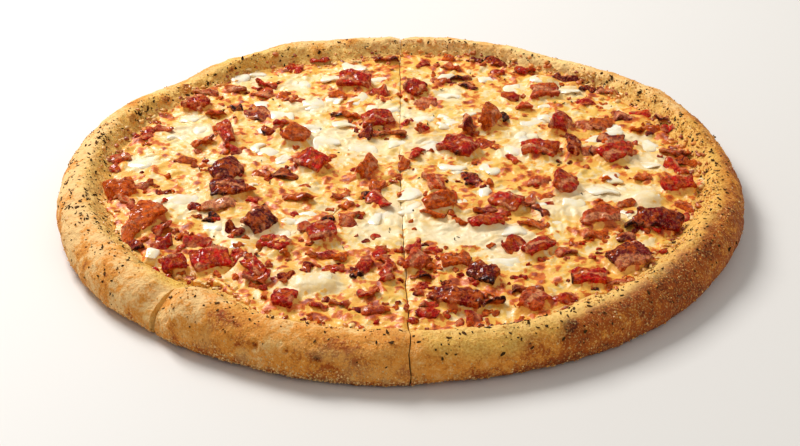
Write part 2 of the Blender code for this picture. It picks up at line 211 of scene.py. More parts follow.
def tip_of(piece):
    """Where a cut piece's two cut faces meet."""
    first, last = slice_angles(piece)
    half = (last - first) / 2
    back = piece.half_gap / math.sin(half)
    return np.array((math.cos(first + half), math.sin(first + half))) * back


def spot(piece, angle, radius):
    """The place at this radius of the pizza, seen at this angle from the piece's tip."""
    tip = tip_of(piece)
    direction = np.stack((np.cos(angle), np.sin(angle)), -1)
    along = direction @ tip
    reach = np.sqrt(radius * radius - tip @ tip + along * along) - along
    return tip + direction * np.maximum(reach, 0)[..., None]


def cut_distances(piece, x, y):
    """How far a place lies inside the first and the last cut face."""
    first, last = slice_angles(piece)
    tip = tip_of(piece)
    dx, dy = x - tip[0], y - tip[1]
    return dy * math.cos(first) - dx * math.sin(first), dx * math.sin(last) - dy * math.cos(last)


def stray(piece, points):
    """Lets the cuts wander a little, the same way on both their sides, and brings the sides closer."""
    tip = tip_of(piece)
    radius = np.hypot(points[:, 0], points[:, 1])
    moved = points.copy()
    for distance, angle, number, side in zip(
        cut_distances(piece, points[:, 0], points[:, 1]), slice_angles(piece), piece.cuts, (-1, 1)
    ):
        direction = np.array((math.cos(angle), math.sin(angle)))
        along = (points[:, :2] - tip) @ direction
        hold = bell(np.maximum(distance, 0), 5) * smooth(2, 12, along)
        wide = lattice_noise(radius, points[:, 2] * 1.5, 11, 200 + number) * 2 - 1
        close = lattice_noise(radius, points[:, 2] * 1.5, 3.4, 210 + number) * 2 - 1
        shift = (CUT_WANDER * (wide + 0.5 * close) + side * CUT_CLOSER[number]) * hold
        moved[:, 0] -= direction[1] * shift
        moved[:, 1] += direction[0] * shift
    return moved


def lift(piece, x, y):
    """How far the piece's ends stand up."""
    outward = np.minimum(np.hypot(x, y) / LIFT_START, 1) ** 2
    from_first, from_last = cut_distances(piece, x, y)
    start = piece.first_lift * bell(from_first, LIFT_REACH)
    return outward * (start + piece.last_lift * bell(from_last, LIFT_REACH))


def rounding(edge, distance):
    return edge[0] * bell(np.maximum(distance, 0), edge[1])


def corner_drop(piece, x, y):
    """How far the rim's edges along the cuts are rounded down."""
    from_first, from_last = cut_distances(piece, x, y)
    return np.maximum(rounding(piece.first_edge, from_first), rounding(piece.last_edge, from_last))


# Places of the toppings, on the cheese, from the photograph: x, y, length, width, heading, kind
# Kinds: r red, d dark red, p pink, o orange-brown, k burnt, u purple, f fat
BACON_BITS = (
    (-133, -11, 11, 8, 20, "p"), (-122, -16, 9, 7, 0, "d"), (-92, -11, 8, 6, 40, "r"),
    (-103, -38, 8, 6, 10, "d"), (-94, -48, 9, 7, 60, "k"), (-79, -22, 10, 5, 30, "o"),
    (-75, -31, 7, 5, 0, "r"), (-82, -60, 10, 7, -20, "d"), (-129, -74, 8, 7, 90, "d"),
    (-140, -31, 12, 5, -50, "p"), (-136, -38, 10, 5, -60, "p"), (-131, -62, 24, 7, 76, "o"),
    (-116, -74, 11, 9, 10, "r"), (-99, -71, 14, 10, 30, "r"), (-106, -66, 9, 6, 0, "o"),
    (-67, -108, 12, 9, -30, "r"), (-78, -85, 13, 7, -58, "r"), (-119, -59, 11, 9, 60, "r"),
    (-92, -36, 20, 8, 18, "f"), (-52, -25, 15, 12, 20, "o"), (-30, -22, 9, 7, 0, "o"),
    (-27, -34, 9, 6, 30, "o"), (-18, -20, 10, 7, 70, "k"), (-12, -12, 9, 8, 0, "o"),
    (-11, -30, 15, 9, -40, "r"), (-26, -49, 14, 9, 60, "p"), (-36, -49, 7, 5, 0, "k"),
    (-44, -61, 12, 9, 20, "p"), (-36, -84, 13, 5, -8, "r"), (-29, -86, 7, 5, 0, "o"),
    (-44, -95, 9, 8, 50, "d"), (-31, -97, 10, 7, -10, "r"), (-17, -93, 16, 7, 95, "r"),
    (-20, -103, 7, 6, 0, "k"), (-53, -105, 8, 6, 0, "d"), (-10, -83, 12, 7, 80, "r"),
    (-6, -91, 14, 8, 95, "r"), (-7, -103, 12, 8, 70, "r"), (7, -76, 9, 7, 60, "r"),
    (16, -79, 9, 6, -20, "r"), (9, -101, 11, 7, 10, "d"), (16, -93, 10, 8, 10, "o"),
    (27, -117, 13, 8, 0, "d"), (37, -119, 13, 8, -20, "d"), (42, -126, 12, 8, 20, "d"),
    (33, -142, 13, 8, 80, "r"), (13, -128, 9, 7, 0, "r"), (13, -137, 10, 7, -10, "r"),
    (9, -113, 9, 7, 30, "r"), (18, -116, 9, 7, 0, "r"), (26, -21, 10, 5, -40, "p"),
    (17, -44, 14, 4, -32, "o"), (29, -49, 12, 4, -30, "o"), (37, -4, 14, 8, -60, "d"),
    (44, -36, 16, 10, 0, "d"), (56, -74, 13, 12, 30, "r"), (72, -8, 12, 6, 20, "p"),
    (64, -31, 12, 9, 30, "p"), (71, -39, 13, 5, -65, "d"), (75, -23, 9, 7, 0, "o"),
    (65, -53, 13, 7, -10, "o"), (117, -55, 11, 7, -20, "k"), (125, -50, 13, 5, 95, "o"),
    (134, -50, 10, 5, 80, "o"), (142, -48, 13, 6, 75, "r"), (110, -66, 13, 9, -15, "u"),
    (96, -63, 13, 7, 0, "o"), (81, -79, 11, 8, 0, "r"), (102, -107, 15, 7, 5, "p"),
    (59, -115, 15, 7, 0, "d"), (76, -124, 12, 8, -10, "r"), (103, -33, 9, 7, 0, "o"),
    (115, -31, 9, 7, 0, "o"), (144, -35, 11, 7, -20, "o"), (110, -3, 9, 6, 0, "o"),
    (127, -3, 9, 6, 0, "o"), (-112, 101, 13, 9, -10, "p"), (-103, 75, 12, 9, 0, "p"),
    (-93, 79, 8, 5, 20, "k"), (-80, 74, 14, 12, 0, "u"), (-72, 52, 9, 8, 40, "d"),
    (-139, 48, 14, 8, 60, "r"), (-131, 55, 10, 7, 20, "p"), (-108, 38, 13, 9, 40, "o"),
    (-150, 19, 13, 8, 30, "p"), (-151, 9, 9, 6, 60, "r"), (-115, 19, 12, 6, -25, "o"),
    (-106, 13, 10, 6, -30, "o"), (-73, 3, 10, 8, 0, "o"), (-60, 2, 14, 10, -40, "d"),
    (-64, 135, 13, 10, -10, "r"), (-78, 115, 14, 8, -20, "r"), (-80, 100, 13, 8, -10, "p"),
    (-95, 107, 12, 8, 10, "p"), (-66, 95, 12, 7, -20, "o"), (-58, 90, 10, 7, -15, "o"),
    (-90, 30, 14, 8, -60, "r"), (-8, 149, 15, 8, -5, "u"), (-12, 100, 13, 8, -30, "r"),
    (-36, 97, 11, 7, 0, "o"), (24, 119, 11, 9, 20, "p"), (30, 137, 12, 6, -30, "p"),
    (35, 123, 14, 7, -10, "d"), (38, 112, 16, 9, 0, "u"), (15, 88, 13, 10, -10, "p"),
    (-27, 71, 13, 8, -40, "o"), (-34, 73, 9, 6, 0, "k"), (-5, 51, 18, 12, -10, "p"),
    (-20, 49, 13, 9, -60, "d"), (4, 63, 10, 4, 60, "r"), (14, 54, 9, 7, 70, "r"),
    (48, 35, 14, 10, -10, "r"), (2, 13, 14, 5, 85, "o"), (8, 25, 12, 9, 80, "r"),
    (36, 0, 8, 6, -50, "k"), (58, 68, 12, 5, 80, "k"), (57, 144, 15, 8, -15, "d"),
    (74, 133, 12, 9, -20, "r"), (58, 132, 9, 6, 0, "r"), (95, 121, 10, 7, 0, "u"),
    (109, 108, 10, 8, -20, "d"), (103, 119, 9, 6, 0, "d"), (120, 103, 13, 6, -25, "u"),
    (104, 89, 15, 7, -10, "r"), (103, 60, 13, 10, 60, "p"), (112, 62, 14, 13, 0, "o"),
    (98, 24, 11, 9, 0, "p"), (106, 26, 10, 9, 60, "u"), (115, 41, 14, 10, -30, "u"),
    (111, 31, 12, 7, 35, "f"), (125, 34, 9, 8, 0, "r"), (61, 19, 10, 7, -60, "r"),
    (125, 71, 14, 11, -10, "u"), (136, 73, 13, 8, -20, "r"), (147, 61, 11, 7, -30, "u"),
    (149, 53, 10, 8, 0, "r"), (131, 53, 9, 7, 0, "o"), (139, 52, 9, 7, 0, "o"),
    (146, 8, 15, 9, -50, "r"), (154, 26, 9, 8, 0, "o"), (155, 12, 9, 7, 0, "o"),
    (145, 26, 12, 9, -20, "p"), (149, 15, 10, 8, 30, "d"), (-14, -118, 11, 7, 10, "r"),
    (-28, -126, 10, 7, 0, "p"), (-11, -132, 13, 7, 15, "p"), (-38, -128, 9, 6, 0, "r"),
    (-66, 62, 9, 6, 20, "r"), (63, 96, 11, 7, 0, "r"), (70, 82, 9, 6, 30, "p"),
    (29, 151, 9, 7, 70, "o"), (-48, 146, 10, 7, 20, "r"), (45, 147, 10, 5, -20, "d"),
    (14, 142, 10, 5, 10, "r"),
)
ONION_BITS = (
    (-102, -16, 14, 11, 15), (-92, -55, 11, 9, 0), (-8, -43, 17, 14, 20), (50, -89, 16, 9, -5),
    (56, -59, 14, 10, 0), (104, -15, 16, 11, 0), (-137, 18, 17, 12, 20), (-122, 48, 13, 9, 0),
    (-110, 56, 13, 10, 30), (-95, 124, 13, 9, 10), (-60, 114, 14, 9, -10), (-85, 131, 12, 7, 0),
    (-27, 138, 15, 12, 0), (-11, 120, 14, 8, 0), (-23, 95, 16, 9, 60), (28, 100, 14, 11, 0),
    (13, 69, 15, 9, 0), (14, 33, 18, 12, 80), (-40, 38, 15, 12, 20), (-45, 58, 15, 11, -20),
    (-50, 86, 14, 10, 0), (-20, 31, 15, 13, 30), (97, 107, 13, 9, 0), (75, 64, 16, 11, 50),
    (61, 28, 14, 10, -20), (120, 58, 16, 11, 0), (133, 36, 15, 11, -20), (133, 15, 14, 11, 0),
    (-31, 62, 13, 10, 0), (-66, 72, 13, 10, 0), (-78, 88, 12, 8, 20), (-72, 28, 13, 9, -10),
    (-62, 22, 12, 9, 30), (0, 40, 14, 10, 0), (28, 12, 14, 10, 10), (47, 8, 12, 9, -30),
    (64, 110, 13, 9, 0), (50, 122, 12, 8, 20), (-40, 122, 13, 9, 0), (-118, 70, 12, 9, 0),
    (5, -20, 14, 11, 75), (4, -36, 13, 11, 90), (-60, -62, 13, 10, 0), (88, -30, 12, 9, 0),
    (-112, -31, 18, 12, 20), (-126, -33, 12, 8, 10), (28, 62, 12, 9, 0), (70, 46, 12, 9, 10),
)

# Bare cheese with toasted orange spots, and places where it stays white: x, y, radius
TOASTED_PLACES = (
    (-106, -56, 9), (-20, -117, 9), (-30, -22, 8), (25, -105, 11), (103, -33, 9), (115, -31, 8),
    (110, -3, 8), (127, -3, 8), (-36, 97, 7), (131, 53, 7), (145, -35, 8), (153, 25, 9),
    (65, -53, 9), (-124, 11, 7), (-140, 2, 6), (-120, 0, 6), (-132, 8, 5), (-53, -26, 11),
    (88, -62, 12), (75, -100, 12), (95, -92, 10), (50, -102, 10), (-66, -30, 9), (-38, 2, 9),
    (20, 0, 8), (60, 0, 9), (88, 8, 8), (100, 45, 8), (40, 90, 8), (-50, 112, 8),
    (-90, 92, 8), (-80, 40, 8), (-18, -135, 10), (60, -132, 9), (-45, -135, 9), (10, -140, 9),
)
PALE_PLACES = (
    (-112, -33, 12), (-12, -58, 13), (50, -66, 14), (56, -59, 9), (120, -22, 13), (104, -15, 9),
    (-137, 18, 10), (-115, 52, 12), (-42, 48, 16), (-50, 86, 12), (-20, 33, 12), (14, 36, 12),
    (61, 28, 9), (125, 45, 12), (133, 17, 9), (97, 107, 8), (-60, 114, 9), (-90, 126, 10),
    (0, -38, 12), (35, -62, 14), (20, -58, 13), (80, -34, 11), (70, 45, 9), (5, 72, 10),
    (-39, -108, 12), (-60, -62, 10), (50, -88, 8), (-85, -60, 10), (28, 100, 9), (92, -18, 9),
)


# Fields over the topping, on a fine square grid

FIELD_LINE = np.arange(-FIELD_REACH, FIELD_REACH + FIELD_STEP / 2, FIELD_STEP)
FIELD_X, FIELD_Y = np.meshgrid(FIELD_LINE, FIELD_LINE, indexing="ij")


def new_field():
    return np.zeros(FIELD_X.shape)


def splat(field, x, y, length, width, heading, amount, highest=False):
    """Adds a soft oval to a field, or lets it stand out of the field as the highest there."""
    reach = 0.95 * max(length, width)
    spans = []
    for middle in (x, y):
        low = int((middle - reach + FIELD_REACH) / FIELD_STEP)
        high = int((middle + reach + FIELD_REACH) / FIELD_STEP) + 1
        spans.append(slice(max(low, 0), max(min(high, len(FIELD_LINE)), 0)))
    window = tuple(spans)
    c, s = math.cos(math.radians(heading)), math.sin(math.radians(heading))
    dx, dy = FIELD_X[window] - x, FIELD_Y[window] - y
    along, across = (dx * c + dy * s) / (length / 2), (dy * c - dx * s) / (width / 2)
    oval = amount * np.exp(-((along * along + across * across) ** 1.3))
    field[window] = np.maximum(field[window], oval) if highest else field[window] + oval


def sample(field, x, y):
    """Reads a field between its grid points."""
    gx = np.clip((x + FIELD_REACH) / FIELD_STEP, 0, len(FIELD_LINE) - 1.001)
    gy = np.clip((y + FIELD_REACH) / FIELD_STEP, 0, len(FIELD_LINE) - 1.001)
    ix, iy = gx.astype(int), gy.astype(int)
    fx, fy = gx - ix, gy - iy
    low = field[ix, iy] * (1 - fx) + field[ix + 1, iy] * fx
    high = field[ix, iy + 1] * (1 - fx) + field[ix + 1, iy + 1] * fx
    return low * (1 - fy) + high * fy


def field_at(field, x, y):
    """A field's value at one place."""
    return float(sample(field, np.array([x]), np.array([y]))[0])


def blurred(field, rounds):
    for _ in range(rounds):
        field = (field + np.roll(field, 1, 0) + np.roll(field, -1, 0)) / 3
        field = (field + np.roll(field, 1, 1) + np.roll(field, -1, 1)) / 3
    return field


# Meshes

def new_mesh(name, points, faces, material):
    """An object at the origin from points in millimetres."""
    mesh = bpy.data.meshes.new(name)
    mesh.from_pydata((np.asarray(points) * MM).tolist(), [], [list(face) for face in faces])
    mesh.materials.append(material)
    thing = bpy.data.objects.new(name, mesh)
    bpy.context.scene.collection.objects.link(thing)
    return thing


def give(thing, name, values):
    """Stores one number, or one colour, for each point."""
    values = np.asarray(values, np.float32)
    if values.ndim == 1:
        layer = thing.data.attributes.new(name, "FLOAT", "POINT")
        layer.data.foreach_set("value", values)
    else:
        layer = thing.data.attributes.new(name, "FLOAT_COLOR", "POINT")
        rgba = np.ones((len(values), 4), np.float32)
        rgba[:, :3] = values
        layer.data.foreach_set("color", rgba.ravel())


def pick_none():
    for other in bpy.context.selected_objects:
        other.select_set(False)


def pick(thing):
    """Makes a piece the only selected and the active one."""
    pick_none()
    thing.select_set(True)
    bpy.context.view_layer.objects.active = thing


def stored(thing, label):
    """The three numbers that each point of a mesh has under this label."""
    values = np.empty(len(thing.data.vertices) * 3, np.float32)
    thing.data.vertices.foreach_get(label, values)
    return values.reshape(-1, 3)


def points_of(thing):
    return stored(thing, "co").astype(float) / MM


def set_points(thing, points):
    thing.data.vertices.foreach_set("co", (np.asarray(points) * MM).astype(np.float32).ravel())
    thing.data.update()


@contextmanager
def edited(thing):
    """A mesh opened for changes to its faces, which it keeps."""
    bm = bmesh.new()
    bm.from_mesh(thing.data)
    bm.verts.ensure_lookup_table()
    yield bm
    bm.to_mesh(thing.data)
    bm.free()


def soft_shade(thing, angle):
    """Shades smoothly, but for edges sharper than this angle."""
    pick(thing)
    bpy.ops.object.shade_smooth_by_angle(angle=math.radians(angle))


def install(thing, slot, *nodes):
    """Fixes a piece to the pizza and hides the solids that it stands for; the slot is not used."""
    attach(thing, "root")
    if nodes:
        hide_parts(*nodes)


# Materials

def new_group(name, inputs, outputs):
    """An empty shader node group with these named inputs and outputs."""
    group = bpy.data.node_groups.new(name, "ShaderNodeTree")
    for label, kind, value in inputs:
        socket = group.interface.new_socket(label, in_out="INPUT", socket_type=kind)
        if value is not None:
            socket.default_value = value
    for label, kind in outputs:
        group.interface.new_socket(label, in_out="OUTPUT", socket_type=kind)
    return group, group.nodes.new("NodeGroupInput"), group.nodes.new("NodeGroupOutput")


def feed(tree, socket, value):
    """Gives a shader socket a number, a colour or what another socket puts out."""
    if isinstance(value, bpy.types.NodeSocket):
        tree.links.new(value, socket)
    else:
        socket.default_value = (*value, 1) if isinstance(value, tuple) else value


def math_node(tree, operation, first, second):
    node = tree.nodes.new("ShaderNodeMath")
    node.operation = operation
    feed(tree, node.inputs[0], first)
    feed(tree, node.inputs[1], second)
    return node.outputs[0]


def plus(tree, first, second):
    return math_node(tree, "ADD", first, second)


def times(tree, first, second):
    return math_node(tree, "MULTIPLY", first, second)


def ramp(tree, value, low, high, to_low=0.0, to_high=1.0):
    """Leads a value smoothly from one range into another."""
    node = tree.nodes.new("ShaderNodeMapRange")
    node.interpolation_type = "SMOOTHSTEP"
    labels = ("Value", "From Min", "From Max", "To Min", "To Max")
    for label, amount in zip(labels, (value, low, high, to_low, to_high)):
        feed(tree, node.inputs[label], amount)
    return node.outputs["Result"]


def colour_socket(sockets, name):
    return next(socket for socket in sockets if socket.name == name and socket.type == "RGBA")


def mix(tree, part, first, second, blend="MIX"):
    """Mixes two colours; either can be a socket or a colour."""
    node = tree.nodes.new("ShaderNodeMix")
    node.data_type = "RGBA"
    node.blend_type = blend
    feed(tree, node.inputs["Factor"], part)
    feed(tree, colour_socket(node.inputs, "A"), first)
    feed(tree, colour_socket(node.inputs, "B"), second)
    return colour_socket(node.outputs, "Result")


def speckle_group():
    """Masks of scattered specks and of soft clouds, by size in millimetres."""
    group, given, made = new_group(
        "Speckle",
        (
            ("Size", "NodeSocketFloat", 4.0), ("Low", "NodeSocketFloat", 0.45),
            ("High", "NodeSocketFloat", 0.6),
        ),
        (("Mask", "NodeSocketFloat"), ("Height", "NodeSocketFloat")),
    )
    place = group.nodes.new("ShaderNodeTexCoord")
    clouds = group.nodes.new("ShaderNodeTexNoise")
    clouds.inputs["Detail"].default_value = 3.0
    clouds.inputs["Roughness"].default_value = 0.6
    group.links.new(place.outputs["Object"], clouds.inputs["Vector"])
    scale = math_node(group, "DIVIDE", 1 / MM, given.outputs["Size"])
    group.links.new(scale, clouds.inputs["Scale"])
    mask = ramp(group, clouds.outputs["Fac"], given.outputs["Low"], given.outputs["High"])
    group.links.new(mask, made.inputs["Mask"])
    group.links.new(clouds.outputs["Fac"], made.inputs["Height"])
    return group


def browning_group():
    """The dough's colour from pale over golden and brown to scorched."""
    group, given, made = new_group(
        "Browning",
        (
            ("Toast", "NodeSocketFloat", 0.3), ("Pale", "NodeSocketColor", (0.8, 0.6, 0.3, 1)),
            ("Golden", "NodeSocketColor", (0.6, 0.35, 0.1, 1)),
            ("Brown", "NodeSocketColor", (0.3, 0.1, 0.03, 1)),
            ("Scorched", "NodeSocketColor", (0.06, 0.02, 0.01, 1)),
        ),
        (("Color", "NodeSocketColor"),),
    )
    toast = given.outputs["Toast"]
    colour = mix(group, ramp(group, toast, 0.05, 0.4), given.outputs["Pale"], given.outputs["Golden"])
    colour = mix(group, ramp(group, toast, 0.4, 0.75), colour, given.outputs["Brown"])
    colour = mix(group, ramp(group, toast, 0.75, 1.05), colour, given.outputs["Scorched"])
    group.links.new(colour, made.inputs["Color"])
    return group


SPECKLE = speckle_group()
BROWNING = browning_group()


def new_material(name, roughness, **settings):
    """A material with its node tree and shader, and these settings of the shader."""
    material = bpy.data.materials.new(name)
    material.use_nodes = True
    shader = material.node_tree.nodes["Principled BSDF"]
    shader.inputs["Roughness"].default_value = roughness
    for label, value in settings.items():
        shader.inputs[label.replace("_", " ")].default_value = value
    return material, material.node_tree, shader


def read(tree, name, output="Fac"):
    """A value that the mesh stores at its points."""
    node = tree.nodes.new("ShaderNodeAttribute")
    node.attribute_name = name
    return node.outputs[output]


def use_group(tree, group, **inputs):
    node = tree.nodes.new("ShaderNodeGroup")
    node.node_tree = group
    for label, value in inputs.items():
        feed(tree, node.inputs[label], value)
    return node.outputs


def speckles(tree, size, low, high):
    made = use_group(tree, SPECKLE, Size=size, Low=low, High=high)
    return made["Mask"], made["Height"]


def dress(tree, shader, colour, height, distance, strength):
    """Gives a shader its colour and its fine bumps."""
    tree.links.new(colour, shader.inputs["Base Color"])
    node = tree.nodes.new("ShaderNodeBump")
    node.inputs["Distance"].default_value = distance * MM
    node.inputs["Strength"].default_value = strength
    tree.links.new(height, node.inputs["Height"])
    tree.links.new(node.outputs["Normal"], shader.inputs["Normal"])


def crust_material():
    material, tree, shader = new_material("Baked crust", 0.7, Specular_IOR_Level=0.2)
    fine, fine_height = speckles(tree, 1.2, 0.4, 0.62)
    middle, middle_height = speckles(tree, 4.2, 0.38, 0.62)
    herby, _ = speckles(tree, 1.7, 0.52, 0.62)
    grainy, _ = speckles(tree, 0.9, 0.56, 0.62)
    # Browning with fine and broad mottling; it carries painted shade towards the base and in the dimples, and
    # painted light on the back right of the rim
    toast = plus(tree, plus(tree, read(tree, "toast"), times(tree, fine, 0.15)), times(tree, middle, 0.14))
    colour = use_group(
        tree, BROWNING, Toast=math_node(tree, "SUBTRACT", toast, 0.14), Pale=linear(244, 197, 130),
        Golden=linear(226, 144, 50), Brown=linear(164, 76, 12), Scorched=linear(88, 32, 6),
    )["Color"]
    butter = mix(tree, fine, linear(246, 202, 96), linear(228, 168, 64))
    colour = mix(tree, read(tree, "butter"), colour, butter)
    colour = mix(tree, times(tree, grainy, 0.35), colour, linear(252, 214, 128))
    # Pale flour specks and paler stretches, with painted light on the back right of the rim
    colour = mix(tree, read(tree, "flour_and_painted_light"), colour, linear(250, 216, 138))
    colour = mix(tree, times(tree, herby, read(tree, "season")), colour, linear(136, 100, 40))
    tree.links.new(ramp(tree, read(tree, "butter"), 0.0, 0.6, 0.72, 0.5), shader.inputs["Roughness"])
    dress(tree, shader, colour, plus(tree, fine_height, middle_height), 0.85, 0.9)
    return material


def cheese_material():
    material, tree, shader = new_material(
        "Melted cheese", 0.38, Specular_IOR_Level=0.35, Coat_Weight=0.06, Coat_Roughness=0.2
    )
    fine, fine_height = speckles(tree, 1.3, 0.38, 0.64)
    broad, broad_height = speckles(tree, 5.0, 0.43, 0.58)
    pools, _ = speckles(tree, 3.6, 0.45, 0.57)
    toast = plus(tree, read(tree, "toast"), times(tree, fine, 0.14))
    body = mix(tree, broad, linear(242, 215, 158), linear(238, 192, 92))
    body = mix(tree, read(tree, "pale"), body, linear(243, 223, 180))
    for low, high, tint in (
        (0.17, 0.33, (242, 184, 78)), (0.37, 0.53, (214, 106, 18)), (0.6, 0.86, (158, 58, 8)),
    ):
        body = mix(tree, ramp(tree, toast, low, high), body, linear(*tint))
    oil = times(tree, read(tree, "oil"), ramp(tree, pools, 0.0, 1.0, 0.25, 1.0))
    body = mix(tree, oil, body, linear(250, 184, 84), "MULTIPLY")
    gloss = plus(tree, ramp(tree, fine, 0.0, 1.0, 0.3, 0.46), ramp(tree, toast, 0.3, 0.7, 0.0, 0.15))
    tree.links.new(gloss, shader.inputs["Roughness"])
    dress(tree, shader, body, plus(tree, fine_height, broad_height), 0.45, 0.55)
    return material


def bacon_material():
    material, tree, shader = new_material(
        "Fried bacon", 0.4, Specular_IOR_Level=0.08, Coat_Roughness=0.1, Subsurface_Weight=0.25,
        Subsurface_Radius=(1.0, 0.16, 0.03), Subsurface_Scale=0.002,
    )
    fine, fine_height = speckles(tree, 0.8, 0.35, 0.7)
    middle, middle_height = speckles(tree, 2.2, 0.45, 0.57)
    broad, _ = speckles(tree, 5.0, 0.48, 0.58)
    painted_glints, _ = speckles(tree, 1.3, 0.53, 0.6)
    wet, _ = speckles(tree, 2.6, 0.5, 0.58)
    colour = mix(tree, times(tree, broad, 0.75), read(tree, "meat", "Color"), linear(222, 100, 18))
    colour = mix(tree, read(tree, "fat"), colour, linear(240, 156, 104))
    colour = mix(tree, read(tree, "char"), colour, linear(46, 4, 4))
    colour = mix(tree, times(tree, middle, 0.6), colour, linear(150, 22, 10), "MULTIPLY")
    # Painted highlights: small lighter orange specks standing in for glints on the bacon
    colour = mix(tree, times(tree, painted_glints, 0.35), colour, linear(236, 128, 58))
    tree.links.new(ramp(tree, fine, 0.0, 1.0, 0.28, 0.5), shader.inputs["Roughness"])
    tree.links.new(times(tree, wet, 0.5), shader.inputs["Coat Weight"])
    dress(tree, shader, colour, plus(tree, fine_height, middle_height), 1.5, 1.0)
    return material


def clouded_material(name, roughness, specks, share, first, second, relief, burnt=None, **settings):
    """A material whose first colour, or else the pieces' own colour, is clouded with a second one."""
    material, tree, shader = new_material(name, roughness, **settings)
    mask, height = speckles(tree, *specks)
    first = first or read(tree, "meat", "Color")
    colour = mix(tree, times(tree, mask, share), first, second)
    if burnt:
        colour = mix(tree, read(tree, "char"), colour, burnt)
    dress(tree, shader, colour, height, *relief)
    return material


# Crust

# Dimples: angle, place up the rim's section, radius and depth, which also sets each dimple's painted shade
# and painted lighter lip
DIMPLES = ((258.0, 0.32, 2.2, 2.4), (253.6, 0.36, 1.3, 1.6), (248.6, 0.35, 1.9, 2.2))
# Blisters: angle, place up the section, radius, height and browning
BLISTERS = (
    (108.0, 0.80, 6.0, 1.5, 0.75), (118.0, 0.86, 4.0, 1.0, 0.6), (147.0, 0.83, 4.5, 1.2, 0.8),
    (158.0, 0.80, 4.0, 1.0, 0.8), (128.0, 0.85, 3.5, 0.9, 0.6), (70.0, 0.84, 3.5, 1.0, 0.7),
    (33.0, 0.62, 3.0, 0.8, 0.8), (214.0, 0.72, 4.0, 0.8, 0.55), (296.0, 0.5, 6.0, 0.6, 0.4),
    (100.0, 0.7, 4.5, 0.8, 0.7), (80.0, 0.8, 4.0, 0.9, 0.6), (140.5, 0.76, 5.5, 1.3, 0.9),
    (154.0, 0.62, 4.0, 0.8, 0.6), (237.0, 0.84, 10.0, 0.7, 0.5), (243.0, 0.8, 7.0, 0.5, 0.45),
    (248.0, 0.72, 8.0, 0.0, 0.2), (256.0, 0.76, 5.0, 0.3, 0.35), (310.0, 0.55, 9.0, 0.4, 0.2),
    (196.0, 0.66, 5.0, 0.4, 0.45), (202.0, 0.7, 3.5, 0.3, 0.4), (188.0, 0.62, 3.0, 0.3, 0.3),
)
# Rows of the crust's grid under the widest place, from there to the crest, and from there to its foot
BASE_ROWS, OUTER_ROWS, INNER_ROWS = 17, 30, 27
# Length that the rim's section is taken to have for its uneven fields
SECTION = 55
# How browned the outside of the rim is, and where up its section the yellow buttery zone starts; round 60
# degrees the browning is low and the butter starts late, as painted light on the lit back right of the rim,
# and from 290 to 345 degrees the browning is partly painted shade on the front right
TOAST_ANGLES = (0, 30, 60, 90, 120, 150, 180, 200, 222, 240, 262, 271, 276, 290, 305, 325, 345, 360)
TOAST_WITH_PAINTED_LIGHT = (
    0.56, 0.4, 0.08, 0.16, 0.3, 0.28, 0.2, 0.16, 0.18, 0.34, 0.44, 0.48, 0.34, 0.54, 0.8, 0.78, 0.66, 0.58
)
BUTTER_STARTS_WITH_PAINTED_LIGHT = (
    0.55, 0.62, 0.85, 0.7, 0.55, 0.55, 0.6, 0.62, 0.6, 0.64, 0.68, 0.6, 0.3, 0.34, 0.55, 0.56, 0.55, 0.55
)


def rim_rows():
    """Even steps along the rim's section, as (stretch, part) pairs."""
    rows = [(0, i / BASE_ROWS) for i in range(BASE_ROWS)]
    rows += [(1, i / OUTER_ROWS) for i in range(OUTER_ROWS)]
    return rows + [(2, i / INNER_ROWS) for i in range(INNER_ROWS + 1)]


def round_table(angle, values):
    """A value round the rim, between those at the listed angles."""
    return np.interp(np.degrees(angle) % 360, TOAST_ANGLES, values)


def rim_rough(angle, part, size, seed, octaves):
    """Roughness over the rim's surface."""
    return rough(angle * OUTER_RADIUS, part * SECTION, size, seed, octaves)


def rim_point(angle, stretch, part):
    """Radius and height of the plain rim at a place on its section."""
    outer, top = outer_radius(angle), rim_top(angle)
    turn = math.pi / 2 * part
    if stretch == 0:
        return outer - UNDERCUT * (1 - math.sin(turn)), WIDEST_HEIGHT * (1 - math.cos(turn)) + 0 * angle
    if stretch == 1:
        radius = outer - CREST_INSET * (1 - math.cos(turn))
        return radius, WIDEST_HEIGHT + (top - WIDEST_HEIGHT) * math.sin(turn)
    crest, foot = outer - CREST_INSET, foot_radius(angle)
    return crest + (foot - crest) * part, FOOT_LEVEL + (top - FOOT_LEVEL) * (1 + math.cos(math.pi * part)) / 2


def crust_relief(angle, arc, length):
    """How far the crust stands out of its plain form, over the rim's own surface in millimetres."""
    around = angle * OUTER_RADIUS
    out = 0.8 * rough(around, arc, 27, 31, 2) + 0.4 * rough(around, arc, 8, 41, 3)
    out += 0.17 * rough(around, arc, 2.6, 51, 2)
    inner = smooth(0.55, 0.8, arc / length)
    out += inner * (0.5 * rough(around, arc, 5, 55, 2) + 0.25 * (0.5 - cells(around, arc, 2.6, 57)))
    toast = np.zeros(np.shape(out))
    for place, part, radius, depth in DIMPLES:
        beside, above = (np.degrees(angle) - place) / 180 * math.pi * OUTER_RADIUS, arc - part * length
        away = np.hypot(beside, above)
        out -= depth * bell(away, radius)
        out += 0.25 * depth * bell(away - 1.7 * radius, radius)
        # Painted shade in each dimple, darker towards its upper side, and a painted lighter lip on its lower
        # side, added to the browning
        toast += 0.5 * depth * bell(away * 1.2, radius) * np.clip(above / radius + 0.25, -1.4, 1)
    for place, part, radius, height, colour in BLISTERS:
        beside, above = (np.degrees(angle) - place) / 180 * math.pi * OUTER_RADIUS, arc - part * length
        bulge = np.exp(-((np.hypot(beside, above * 1.4) / radius) ** 2.5))
        out += height * bulge
        toast += colour * bulge * (0.6 + 0.4 * rough(around, arc, 5, 61, 2))
    return out, toast


RIMS = []


